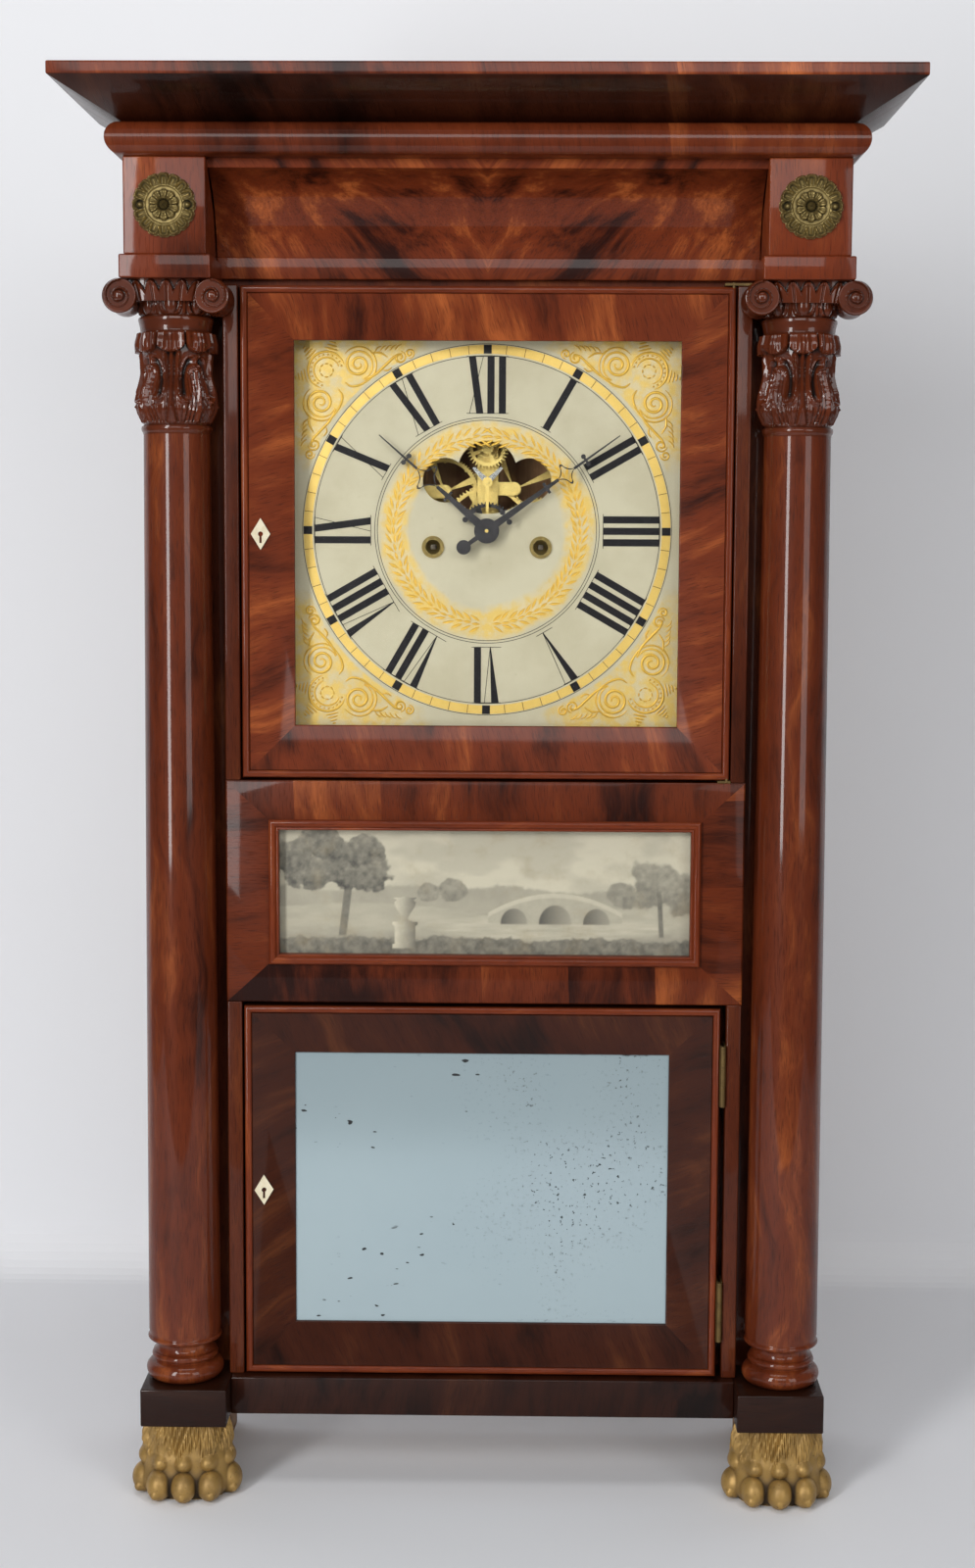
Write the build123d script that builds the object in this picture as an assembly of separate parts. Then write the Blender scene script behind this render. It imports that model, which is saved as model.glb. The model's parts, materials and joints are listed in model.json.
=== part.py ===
from build123d import *
import math
import os

# Three-tier column shelf clock. Millimetres, +Z up, the front faces -Y.
# "forward" is a distance towards the viewer, measured from the front face of the doors.

# Driving dimensions: heights
foot_height = 52.0
plinth_height = 26.0
lower_door_height = 258.0
middle_panel_height = 151.5
upper_door_height = 326.5
lower_door_gap = 3.0
upper_door_gap = 2.0
rail_gap = 1.0
head_gap = 6.0
frieze_fillet_height = 14.5
cove_height = 51.5
frieze_top_fillet = 6.0
roll_height = 21.5
cornice_slope_height = 22.0
cornice_fascia = 8.5
slab_height = 15.0
slab_drop = 5.0

# Driving dimensions: half widths from the centre line
carcass_half = 224.0
board = 16.0
post_inner = 165.0
post_outer = 175.0
block_inner = 181.0
block_outer = 234.5
slab_overhang = 3.0
door_left_gap = 1.5
upper_door_right_gap = 1.0
lower_door_right_gap = 4.2
cornice_half = 275.0
plinth_inner = 173.5
plinth_outer = 232.0
column_x = 205.5

# Driving dimensions: forward distances
back_plane = -112.0
carcass_front = -28.0
frame_thickness = 8.0
backboard_thickness = 8.0
door_thickness = 22.0
block_front = 33.0
roll_bulge = 10.0
rail_front = 7.0
frieze_lean = 50.0
frieze_fillet_out = 6.0
frieze_lip_out = 2.0
cove_deep_share = 0.36
cove_deep_rise = 0.62
slab_lip = 2.0
post_front = -1.0
column_setback = 6.0
roll_steps = 12

# Driving dimensions: columns, capitals and feet
shaft_top_radius = 22.0
shaft_low_radius = 24.6
base_radius = 26.5
base_height = 31.0
capital_height = 99.0
volute_radius = 11.2
volute_spread = 30.0
volute_back = 2.0
volute_front = 34.0
foot_toe_front = 45.0
foot_half_width = 38.5
foot_back = -24.0
toe_radius = 9.5
toe_count = 5
toe_setback = 14.0
knuckle_share = 0.95
knuckle_spread = 0.94
knuckle_setback = 6.0
knuckle_rise = 2.3
rear_foot_size = 40.0
volute_eye_share = 0.35
volute_eye_rise = 2.0
cushion_back_gap = 1.0
cushion_setback = 4.0
cushion_share = 0.9
bell_lap = 4.0
shaft_flare = 0.3
shaft_flare_height = 4.0
shaft_start_height = 9.0
# Column base: (how far inside the base radius, share of the base height)
column_base_outline = [(2.5, 0.0), (0.6, 0.065), (0.0, 0.194), (0.8, 0.323), (3.0, 0.42), (5.0, 0.45),
                       (3.6, 0.516), (4.2, 0.6), (6.5, 0.645), (7.0, 0.774), (1.6, 0.935), (1.2, 1.0)]
# Capital's bell: (how far outside the shaft's top radius, height above the capital's foot)
bell_outline = [(1.0, 0.0), (1.8, 2.5), (1.0, 5.0), (0.4, 6.0), (3.0, 22.0), (1.6, 38.0), (2.0, 53.0),
                (5.2, 55.0), (5.6, 63.0), (4.0, 67.0), (3.6, 75.0), (5.0, 77.0)]
bell_top_out = 4.4
# Paw sections: narrower by, shorter at the front by, share of the foot's height, corner radius
foot_sections = [(3.0, 12.0, 0.0, 14.0), (1.0, 8.0, 0.35, 15.0), (8.0, 18.0, 0.72, 14.0),
                 (10.0, 17.0, 1.0, 12.0)]

# Driving dimensions: doors, panel and dial
door_frame_width = 35.0
lower_door_frame_width = 34.0
door_bead = 5.0
door_bead_step = 1.6
door_bevel_drop = 7.5
glass_thickness = 2.0
glass_lap = 5.0
glass_seat = 2.0
backing_setback = 2.0
picture_half = 146.0
picture_height = 99.0
picture_moulding_width = 7.0
picture_moulding_rise = 5.0
picture_pocket = 8.0
picture_pocket_lap = 3.0
moulding_round_share = 0.6
card_thickness = 2.0
dial_thickness = 6.0
window_dome = 20.0
window_dome_z = 40.5
window_lobe = 15.0
window_lobe_x = 28.5
window_lobe_z = 34.0
window_bowl = 38.0
window_low = 11.4
bezel_radius = 7.5
bezel_tube = 5.6
bezel_hole = 5.0
bezel_rise = 1.2
dial_height_above_door = 166.0
dial_margin = 7.0
escutcheon_width = 13.0
escutcheon_height = 21.0
escutcheon_thickness = 1.2
escutcheon_inset = 1.0
keyhole_radius = 1.7
keyhole_slot = 1.6
keyhole_length = 6.0
hinge_pin_radius = 1.2
hinge_pin_wall = 0.4
hinge_socket = 8.0
hinge_pin_low = 1.8
hinge_pin_high = 2.6
hinge_plate_lap = 6.0
hinge_plate_depth = 12.0
hinge_plate_lip = 0.4
hinge_plate_thickness = 1.6
head_clearance = 0.6
hinge_leaf = 1.2
hinge_length = 42.0
butt_axis_forward = 0.5
butt_knuckle = 2.0
butt_pin = 1.0
butt_play = 0.2
butt_shy = 0.2
butt_gap = 0.3
butt_leaf_back = -16.0
butt_leaf_front = -1.4
butt_place_share = 0.18
rosette_radius = 20.5
rosette_rise = 6.0
# Rosette: shares of its radius and of its rise
rosette_outline = [(0.0, 0.0), (1.0, 0.0), (1.0, 0.233), (0.93, 0.4), (0.86, 0.267), (0.62, 0.6),
                   (0.36, 0.55), (0.3, 0.9), (0.14, 1.0), (0.0, 1.0)]
pivot_clearance = 0.1
end_shake = 0.2
pivot_short = 0.3

# Driving dimensions: movement
plate_thickness = 2.0
plate_half_width = 72.0
plate_half_height = 82.0
plate_edge = 6.0
front_plate_front = -52.0
movement_depth = 30.0
winding_x = 36.5
winding_drop = 11.0
drum_radius = 11.0
cord_radius = 0.75
pulley_radius = 16.0
pulley_x = 134.0
pulley_drop = 36.0
weight_radius = 26.0
weight_height = 140.0
weight_bottom_gap = 24.0
hang_forward = -74.0
pendulum_length = 405.0
bob_radius = 28.0
bob_thickness = 12.0
verge_height = 33.0
escape_height = 56.2
escape_radius = 14.5
escape_teeth = 36
minute_hand_length = 109.6
hour_hand_length = 96.8
minute_hand_angle = 54.4
hour_hand_angle = -48.7
hand_thickness = 1.2
hand_hub = 8.4
hand_tail = 19.0
hand_tail_disc = 4.9
minute_shaft_root = 2.6
hour_shaft_root = 3.2
hand_shaft_end = 1.1
hand_needle_root = 0.9
hand_needle_tip = 0.35
hand_tail_root = 1.8
hand_tail_end = 1.3
low_bar_rise = 7.5
mid_bar_drop = 7.2
high_bar_rise = 7.0
# Cross bars of a hand: half length, thickness, radius of the knob at each end
low_bar = (4.0, 1.6, 1.9)
mid_bar = (4.1, 1.9, 0.0)
high_bar = (2.9, 1.6, 1.6)
minute_loop_size = 9.0
hour_loop_size = 11.6
loop_share = 0.88
loop_wall = 1.7
loop_bite = 1.5
minute_loop = 65.6
hour_loop = 53.8
hour_hand_lift = 4.5
minute_hand_lift = 9.5
pipe_hole_gap = 0.6

# Driving dimensions: arbors, plates, bell and weights
arbor_radius = 1.2
cannon_radius = 2.4
pipe_radius = 3.6
train_arbor = 1.5
train_pivot = 1.0
drum_arbor = 2.5
drum_back_pivot = 1.5
drum_front_pivot = 1.8
drum_flange = 2.0
drum_flange_thickness = 1.2
winding_square = 3.2
winding_square_gap = 2.0
winding_square_start = 1.0
centre_arbor_reach = 12.5
stud_radius = 1.2
verge_stud_reach = 3.4
motion_stud_reach = 0.6
lifting_pin_radius = 0.8
lifting_pins = 8
lifting_pin_inset = 3.0
vane_length = 21.0
vane_thickness = 1.0
vane_back_gap = 4.0
vane_front_gap = 5.0
hammer_bar = 1.8
hammer_bar_bore = 1.4
hammer_forward = 3.0
hammer_bar_thickness = 2.0
hammer_head = 5.0
hammer_head_back = 5.0
hammer_head_front = 7.0
hammer_gap = 1.0
bell_radius = 30.0
bell_x = -20.0
bell_drop = 125.0
bell_depth = 24.0
bell_wall = 1.8
bell_post = 3.0
bell_mouth_gap = 10.0
# Bell: shares of its radius and of its depth
bell_curve = [(0.35, 1.0), (0.72, 0.8), (0.88, 0.45)]
hammer_left = 45.0
hammer_low = 52.0
pin_wheel_bearing = 80.0
fly_bearing = 115.0
pillar_radius = 4.0
pillar_inset_x = 8.0
pillar_inset_z = 9.0
edge_strap = 8.0
middle_strap = 7.0
arbor_strap = 4.5
light_strap = 4.0
verge_hub = 2.6
# Right half of the verge strip: (x, height above its arbor), from the middle out to the pallet and back
verge_arm = [(0.0, 3.2), (9.0, 10.6), (10.5, 9.5), (2.6, 0.0)]
pendulum_rod = 2.0
pendulum_ring = 10.0
pendulum_ring_inner = 8.0
pendulum_ring_lap = 1.0
pendulum_eye = 3.4
pendulum_eye_lap = 0.6
bob_lap = 1.0
bob_mid_share = 0.6
bob_mid_thickness = 0.8
bob_room = 3.0
bob_travel = 24.0
weight_low_round = 3.0
weight_top_round = 5.0
weight_hook_radius = 2.5
weight_hook = 14.0
sheave_flange = 2.5
sheave_half = 4.0
sheave_rim = 1.2
sheave_floor_half = 1.4
sheave_floor_gap = 0.05
sheave_axle = 1.5
bracket_half = 6.0
bracket_cheek = 2.0
bracket_gap = 0.4

# Driving dimensions: teeth. The shares are of a module for heights, and of the pitch for half widths.
tooth_root_depth = 1.0
tooth_tip_height = 0.72
tooth_root_half = 0.27
tooth_pitch_half = 0.185
tooth_tip_half = 0.09
wheel_rim = 2.2
wheel_hub = 3.5
wheel_arm = 3.0
wheel_arm_turn = 0.4
escape_tooth_depth = 2.6
escape_rim = 4.4
escape_hub = 4.0
escape_arbor_end = 1.0
escape_arm = 2.0
# Escape tooth: (stands at the tip, share of the pitch)
escape_tooth = [(False, 0.0), (True, 0.42), (True, 0.52), (False, 0.66)]
pinion_lap = 0.7
great_pinion_lap = 0.5
centre_pinion_back = 0.5
centre_pinion_front = 2.5
great_gap = 2.0
great_thickness = 2.5
wheel_thickness = 1.5
inter_thickness = 2.0
drum_gap = 1.0
drum_length = 16.5
third_ahead = 8.0
pin_ahead = 12.5
inter_ahead = 0.9
centre_ahead = 4.2
cannon_ahead = 2.5
cannon_thickness = 3.0
hour_wheel_gap = 1.6
hour_wheel_thickness = 2.2
escape_ahead = 5.0
pendulum_ahead = 2.2
lifting_pin = 2.4
minute_wheel_shy = 0.5
minute_pinion_reach = 0.4
great_teeth = 80
great_module = 0.85
inter_pinion_teeth = 10
inter_teeth = 40
inter_module = 1.3
centre_pinion_teeth = 12
centre_teeth = 72
centre_module = 0.85
third_pinion_teeth = 8
third_teeth = 70
third_module = 0.84
escape_pinion_teeth = 8
pin_teeth = 72
pin_module = 0.65
fly_pinion_teeth = 8
cannon_teeth = 16
minute_teeth = 48
cannon_module = 0.75
minute_pinion_teeth = 12
hour_teeth = 48
hour_module = 0.8

# Heights worked out from the stack of tiers
plinth_top = foot_height + plinth_height
lower_door_z = plinth_top + rail_gap
lower_door_top = lower_door_z + lower_door_height
panel_z = lower_door_top + lower_door_gap
panel_top = panel_z + middle_panel_height
upper_door_z = panel_top + upper_door_gap
upper_door_top = upper_door_z + upper_door_height
fillet_z = upper_door_top + head_gap
cove_z = fillet_z + frieze_fillet_height
cove_top = cove_z + cove_height
roll_z = cove_top + frieze_top_fillet
roll_top = roll_z + roll_height
cornice_edge = roll_top + cornice_slope_height
total_height = cornice_edge + cornice_fascia
slab_z = fillet_z - slab_drop
block_z = slab_z + slab_height
capital_z = slab_z - capital_height
dial_z = upper_door_z + dial_height_above_door
dial_low = upper_door_z + dial_margin
dial_high = upper_door_top - dial_margin
bell_z = dial_z - bell_drop

# Depths worked out
cornice_overhang = cornice_half - block_outer
cornice_front = block_front + cornice_overhang
depth_mid = (cornice_front + back_plane) / 2
frame_back = carcass_front - frame_thickness
backboard_front = back_plane + backboard_thickness
case_inner = carcass_half - board
dial_half = post_inner - dial_margin
top_board_sides = (-block_inner, block_inner, back_plane, carcass_front)
block_centre_x = (block_inner + block_outer) / 2
column_forward = block_front - base_radius - column_setback
back_plate_back = front_plate_front - 2 * plate_thickness - movement_depth
plates_inner_front = front_plate_front - plate_thickness
plates_inner_back = back_plate_back + plate_thickness
pulley_z = roll_z - pulley_drop
wind_radius = drum_radius + cord_radius
sheave_radius = pulley_radius + cord_radius

# Layers of the movement worked out, as forward distances
great_back = plates_inner_back + great_gap
drum_back = great_back + great_thickness + drum_gap
third_back = drum_back + third_ahead
pin_back = drum_back + pin_ahead
inter_back = drum_back + drum_length + inter_ahead
centre_back = inter_back + centre_ahead
cannon_back = front_plate_front + cannon_ahead
cannon_front = cannon_back + cannon_thickness
hour_wheel_back = cannon_front + hour_wheel_gap
hour_wheel_front = hour_wheel_back + hour_wheel_thickness
escape_back = front_plate_front + escape_ahead
rod_back = hour_wheel_front + pendulum_ahead

parts = {}


# Shared builders

def y_of(forward):
    """The Y coordinate of a forward distance."""
    return -forward + depth_mid


def front_plane(forward):
    """A plane parallel to the clock's face whose normal points at the viewer."""
    return Plane.XZ.offset(forward - depth_mid)


def block(x0, x1, f0, f1, z0, z1):
    """A box given by its sides: left-right, back-front in forward distances, low-high."""
    solid = Box(abs(x1 - x0), abs(f1 - f0), abs(z1 - z0))
    return Pos((x0 + x1) / 2, y_of((f0 + f1) / 2), (z0 + z1) / 2) * solid


def slab_of(sketch, f0, f1):
    """A flat sketch drawn in X and Z, made solid from forward distance f0 to f1."""
    return extrude(front_plane(f0) * sketch, amount=f1 - f0)


def rod(x, z, radius, f0, f1):
    """A round bar along the depth of the clock."""
    return slab_of(Pos(x, z) * Circle(radius), f0, f1)


def outline(points):
    return make_face(Polyline(*points, close=True))


def turned(points, x, forward):
    """A turned piece: (radius, height) points spun about an upright axis."""
    profile = make_face(Plane.XZ * Polyline(*points, close=True))
    return Pos(x, y_of(forward), 0) * revolve(profile, Axis.Z)


def faced(points, x, forward, z):
    """A turned piece that faces the viewer: (radius, rise) points spun about a line along the depth."""
    spun = revolve(make_face(Plane.XZ * Polyline(*points, close=True)), Axis.Z)
    return Plane(origin=(x, y_of(forward), z), x_dir=(1, 0, 0), z_dir=(0, -1, 0)) * spun


def mirrored(solid):
    return mirror(solid, Plane.YZ)


def keep(name, *solids):
    """Files one node, made of one solid or of a group of separate solids."""
    flat = []
    for solid in solids:
        flat.extend(solid.solids())
    parts[name] = flat[0] if len(flat) == 1 else Compound(flat)


# Carcass

def make_carcass():
    mount_half = plate_half_width + plate_edge
    mount_reach = plate_half_height + plate_edge
    keep("backboard",
         block(-case_inner, case_inner, back_plane, backboard_front, foot_height, roll_z),
         block(-mount_half, mount_half, backboard_front, back_plate_back,
               dial_z - mount_reach, dial_z + mount_reach))
    side = block(case_inner, carcass_half, back_plane, carcass_front, foot_height, roll_z)
    keep("side_boards", side, mirrored(side))
    bottom = block(-case_inner, case_inner, backboard_front, frame_back, foot_height, foot_height + board)
    keep("end_boards", bottom, block(*top_board_sides, roll_z, roll_top))
    frame = block(-case_inner, case_inner, frame_back, carcass_front, foot_height, roll_z)
    upper = block(-dial_half, dial_half, frame_back, carcass_front, dial_low, dial_high)
    lower = block(-dial_half, dial_half, frame_back, carcass_front,
                  foot_height + board, lower_door_top - dial_margin)
    bob_z = dial_z + verge_height - pendulum_length
    bob_reach = bob_radius + bob_room
    bob_front = rod_back + (pendulum_rod + bob_thickness) / 2 + bob_room
    bob_pocket = block(-bob_reach - bob_travel, bob_reach + bob_travel, rod_back, bob_front,
                       bob_z - bob_reach, bob_z + bob_reach)
    keep("front_frame", frame - upper - lower - bob_pocket)


# Cornice, roll moulding and frieze

def return_moulding(profile):
    """A moulding that turns both front corners: the same (overhang, height) outline cut along X and Y."""
    front = [(block_front + out, z) for out, z in profile]
    side = [(block_outer + out, z) for out, z in profile]
    z_low = profile[0][1]
    z_high = profile[-1][1]
    along = make_face(Plane.YZ * Polyline(*[(y_of(f), z) for f, z in front],
                                          (y_of(back_plane), z_high), (y_of(back_plane), z_low),
                                          close=True))
    across = make_face(Plane.XZ * Polyline(*side, *[(-x, z) for x, z in reversed(side)], close=True))
    reach = 2 * cornice_half
    return extrude(along, amount=reach, both=True) & extrude(across, amount=reach, both=True)


def make_entablature():
    keep("cornice", return_moulding([(0.0, roll_top), (cornice_overhang, cornice_edge),
                                     (cornice_overhang, total_height)]))

    half = roll_height / 2
    arc = []
    for i in range(roll_steps + 1):
        turn = math.pi * i / roll_steps
        arc.append((roll_bulge * math.sin(turn), roll_z + half - half * math.cos(turn)))
    ring = return_moulding(arc)
    keep("roll_moulding", ring - block(*top_board_sides, roll_z, roll_top))

    back = carcass_front
    front = carcass_front + frieze_lean
    with BuildSketch(Plane.YZ) as cove:
        with BuildLine():
            low = (y_of(back + frieze_fillet_out), cove_z)
            high = (y_of(front), cove_top)
            lip = y_of(front + frieze_lip_out)
            deep = (y_of(back + frieze_lean * cove_deep_share), cove_z + cove_height * cove_deep_rise)
            Polyline(low, (y_of(back + frieze_fillet_out), fillet_z), (y_of(back), fillet_z),
                     (y_of(back), roll_z), (lip, roll_z), (lip, cove_top), high)
            ThreePointArc(low, deep, high)
        make_face()
    keep("frieze_cove", extrude(cove.sketch, amount=block_inner, both=True))

    upright = block(block_inner, block_outer, carcass_front, block_front, block_z, roll_z)
    slab = block(block_inner - slab_overhang, block_outer + slab_overhang,
                 carcass_front, block_front + slab_lip, slab_z, block_z)
    slab = slab - block(0, block_inner, carcass_front, carcass_front + frieze_fillet_out, slab_z, block_z)
    keep("rosette_blocks", upright + slab, mirrored(upright + slab))

    dome = [(r * rosette_radius, rise * rosette_rise) for r, rise in rosette_outline]
    rosette = faced(dome, block_centre_x, block_front, (block_z + roll_z) / 2)
    keep("rosettes", rosette, mirrored(rosette))


# Columns, capitals, plinths and feet

def make_columns():
    base_top = plinth_top + base_height
    profile = [(0, plinth_top)]
    for inset, share in column_base_outline:
        profile.append((base_radius - inset, plinth_top + share * base_height))
    profile += [(shaft_low_radius + shaft_flare, base_top + shaft_flare_height),
                (shaft_low_radius, base_top + shaft_start_height),
                (shaft_top_radius, capital_z), (0, capital_z)]
    column = turned(profile, column_x, column_forward)
    keep("column_right", column)
    keep("column_left", mirrored(column))

    plinth = block(plinth_inner, plinth_outer, carcass_front, block_front, foot_height, plinth_top)
    keep("plinths", plinth, mirrored(plinth))
    keep("base_rail", block(-plinth_inner, plinth_inner, carcass_front, rail_front, foot_height, plinth_top))


def make_capitals():
    bell_top = slab_z - bell_lap
    bell = [(0, capital_z)]
    bell += [(shaft_top_radius + out, capital_z + height) for out, height in bell_outline]
    bell += [(shaft_top_radius + bell_top_out, bell_top), (0, bell_top)]
    cushion = block(block_centre_x - volute_spread, block_centre_x + volute_spread,
                    carcass_front + cushion_back_gap, volute_front - cushion_setback,
                    slab_z - volute_radius * cushion_share, slab_z)
    capital = turned(bell, column_x, column_forward) + cushion
    scroll_z = slab_z - volute_radius
    for side in (-1, 1):
        x = block_centre_x + side * volute_spread
        capital = capital + rod(x, scroll_z, volute_radius, volute_back, volute_front)
        capital = capital + rod(x, scroll_z, volute_radius * volute_eye_share,
                                volute_front, volute_front + volute_eye_rise)
    keep("capital_right", capital)
    keep("capital_left", mirrored(capital))


def rounded_section(half_x, f0, f1, z, radius, x):
    corner = RectangleRounded(2 * half_x, f1 - f0, radius)
    return Plane(origin=(x, y_of((f0 + f1) / 2), z)) * corner


def make_feet():
    x = (plinth_inner + plinth_outer) / 2
    w = foot_half_width
    sections = []
    for narrower, shorter, share, corner in foot_sections:
        sections.append(rounded_section(w - narrower, foot_back, foot_toe_front - shorter,
                                        foot_height * share, corner, x))
    paw = loft(sections)
    pitch = 2 * (w - toe_radius) / (toe_count - 1)
    for i in range(toe_count):
        along = -(w - toe_radius) + pitch * i
        toe_forward = foot_toe_front - toe_radius - toe_setback * (along / w) ** 2
        toe = Pos(x + along, y_of(toe_forward), toe_radius) * Sphere(toe_radius)
        knuckle = Pos(x + along * knuckle_spread, y_of(toe_forward - knuckle_setback),
                      toe_radius * knuckle_rise)
        paw = paw + toe + knuckle * Sphere(toe_radius * knuckle_share)
    keep("paw_feet", paw, mirrored(paw))
    rear_x = carcass_half - rear_foot_size / 2
    rear = block(rear_x - rear_foot_size / 2, rear_x + rear_foot_size / 2,
                 back_plane, back_plane + rear_foot_size, 0, foot_height)
    keep("rear_feet", rear, mirrored(rear))


# Doors

def mitred_members(frame, x0, x1, z0, z1):
    """Cuts a closed frame along its corner mitres into two stiles and two rails."""
    width = door_frame_width + glass_lap
    wedges = {
        "left": [(x0, z0), (x0 + width, z0 + width), (x0 + width, z1 - width), (x0, z1)],
        "right": [(x1, z0), (x1, z1), (x1 - width, z1 - width), (x1 - width, z0 + width)],
        "low": [(x0, z0), (x1, z0), (x1 - width, z0 + width), (x0 + width, z0 + width)],
        "high": [(x0, z1), (x0 + width, z1 - width), (x1 - width, z1 - width), (x1, z1)],
    }
    members = []
    for points in wedges.values():
        members.append(frame & slab_of(outline(points), -2 * door_thickness, door_thickness))
    return members


def door_frame(x0, x1, z0, z1, w):
    """A veneered door: a raised bead round the edge, then a face that slopes down to the glass."""
    cx = (x0 + x1) / 2
    cz = (z0 + z1) / 2
    frame = block(x0, x1, -door_thickness, 0, z0, z1)
    slope_top = -door_bead_step
    slope_end = slope_top - door_bevel_drop
    bead = Pos(cx, cz) * Rectangle(x1 - x0 - 2 * door_bead, z1 - z0 - 2 * door_bead)
    sight = Pos(cx, cz) * Rectangle(x1 - x0 - 2 * w, z1 - z0 - 2 * w)
    frame = frame - block(x0 + door_bead, x1 - door_bead, slope_top, 0, z0 + door_bead, z1 - door_bead)
    frame = frame - loft([front_plane(slope_end) * sight, front_plane(slope_top) * bead])
    frame = frame - block(x0 + w, x1 - w, -door_thickness, 0, z0 + w, z1 - w)
    lap = w - glass_lap
    glass_front = slope_end - glass_seat
    frame = frame - block(x0 + lap, x1 - lap, -door_thickness, glass_front, z0 + lap, z1 - lap)
    pane = block(x0 + lap, x1 - lap, glass_front - glass_thickness, glass_front, z0 + lap, z1 - lap)
    return frame, pane, glass_front


def keyhole():
    return Circle(keyhole_radius) + Pos(0, -keyhole_length / 2) * Rectangle(keyhole_slot, keyhole_length)


def escutcheon(x_left, z, w):
    """A bone diamond lying on the sloping face of a door's left stile."""
    run = w - door_bead
    slope = math.atan2(door_bevel_drop, run)
    middle = escutcheon_width / 2 + escutcheon_inset
    origin = (x_left + door_bead + middle, y_of(-door_bead_step - door_bevel_drop * middle / run), z)
    normal = (math.sin(slope), -math.cos(slope), 0)
    plane = Plane(origin=origin, x_dir=(math.cos(slope), math.sin(slope), 0), z_dir=normal)
    a = escutcheon_width / 2
    b = escutcheon_height / 2
    diamond = outline([(-a, 0), (0, -b), (a, 0), (0, b)])
    return extrude(plane * (diamond - keyhole()), amount=escutcheon_thickness)


def make_upper_door():
    x0 = -post_inner + door_left_gap
    x1 = post_inner - upper_door_right_gap
    z0 = upper_door_z
    z1 = upper_door_top
    frame, pane, _ = door_frame(x0, x1, z0, z1, door_frame_width)
    axis_x = x1 - hinge_pin_radius - hinge_pin_wall
    axis_f = -hinge_pin_radius - hinge_pin_wall
    pins = []
    for base, top in ((z0 - hinge_pin_low, z0 + hinge_socket), (z1 - hinge_socket, z1 + hinge_pin_high)):
        pin = Pos(axis_x, y_of(axis_f), (base + top) / 2) * Cylinder(hinge_pin_radius, top - base)
        pins.append(pin)
        frame = frame - pin
    keep("upper_door_frame", *mitred_members(frame, x0, x1, z0, z1))
    keep("upper_door_glass", pane)
    keep("upper_hinge_pins", *pins)
    keep("upper_escutcheon", escutcheon(x0, z0 + upper_door_height / 2, door_frame_width))
    bore = hinge_pin_radius + pivot_clearance
    plates = []
    for z, right, lip in ((panel_top, post_inner, 0.0), (z1 + head_clearance, post_outer, hinge_plate_lip)):
        plate = block(axis_x - hinge_plate_lap, right, axis_f - hinge_plate_depth,
                      axis_f + hinge_pin_radius + lip, z, z + hinge_plate_thickness)
        hole = Pos(axis_x, y_of(axis_f), z) * Cylinder(bore, hinge_length)
        plates.append(plate - hole)
    return plates


def make_lower_door():
    x0 = -post_inner + door_left_gap
    x1 = post_inner - lower_door_right_gap
    z0 = lower_door_z
    z1 = lower_door_top
    w = lower_door_frame_width
    frame, pane, glass_front = door_frame(x0, x1, z0, z1, w)
    keep("lower_door_frame", *mitred_members(frame, x0, x1, z0, z1))
    keep("mirror_plate", pane)
    lap = w - glass_lap
    keep("mirror_backing", block(x0 + lap, x1 - lap, -door_thickness + backing_setback,
                                 glass_front - glass_thickness, z0 + lap, z1 - lap))
    keep("lower_escutcheon", escutcheon(x0, z0 + lower_door_height / 2, w))

    axis_x = (x1 + post_inner) / 2
    third = hinge_length / 3
    door_leaves = []
    case_leaves = []
    place_rise = lower_door_height * butt_place_share
    for centre in (z0 + place_rise, z1 - place_rise):
        low = centre - hinge_length / 2
        top = low + hinge_length
        axis = Pos(axis_x, y_of(butt_axis_forward), centre)
        bore = axis * Cylinder(butt_pin + pivot_clearance, 2 * hinge_length)
        leaf_d = block(x1, x1 + hinge_leaf, butt_leaf_back, butt_leaf_front, low, top)
        leaf_c = block(post_inner - hinge_leaf, post_inner, butt_leaf_back, butt_leaf_front, low, top)
        for i in range(3):
            z = low + third * (i + 0.5)
            barrel = Pos(axis_x, y_of(butt_axis_forward), z) * Cylinder(butt_knuckle, third - butt_play)
            neck_z = (z - (third - butt_play) / 2, z + (third - butt_play) / 2)
            if i == 1:
                neck = block(axis_x + butt_shy, post_inner, -butt_knuckle, -butt_shy, *neck_z)
                leaf_c = leaf_c + (neck + barrel - bore)
            else:
                neck = block(x1, axis_x - butt_shy, -butt_knuckle, -butt_shy, *neck_z)
                leaf_d = leaf_d + (neck + barrel - bore)
        for i in range(3):
            z = low + third * (i + 0.5)
            gap = Cylinder(butt_knuckle + butt_gap, third + butt_play)
            gap = Pos(axis_x, y_of(butt_axis_forward), z) * gap
            if i == 1:
                leaf_d = leaf_d - gap
            else:
                leaf_c = leaf_c - gap
        door_leaves.append(leaf_d)
        case_leaves.extend([leaf_c, axis * Cylinder(butt_pin, hinge_length)])
    keep("lower_hinge_door_leaves", *door_leaves)
    return case_leaves


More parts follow.
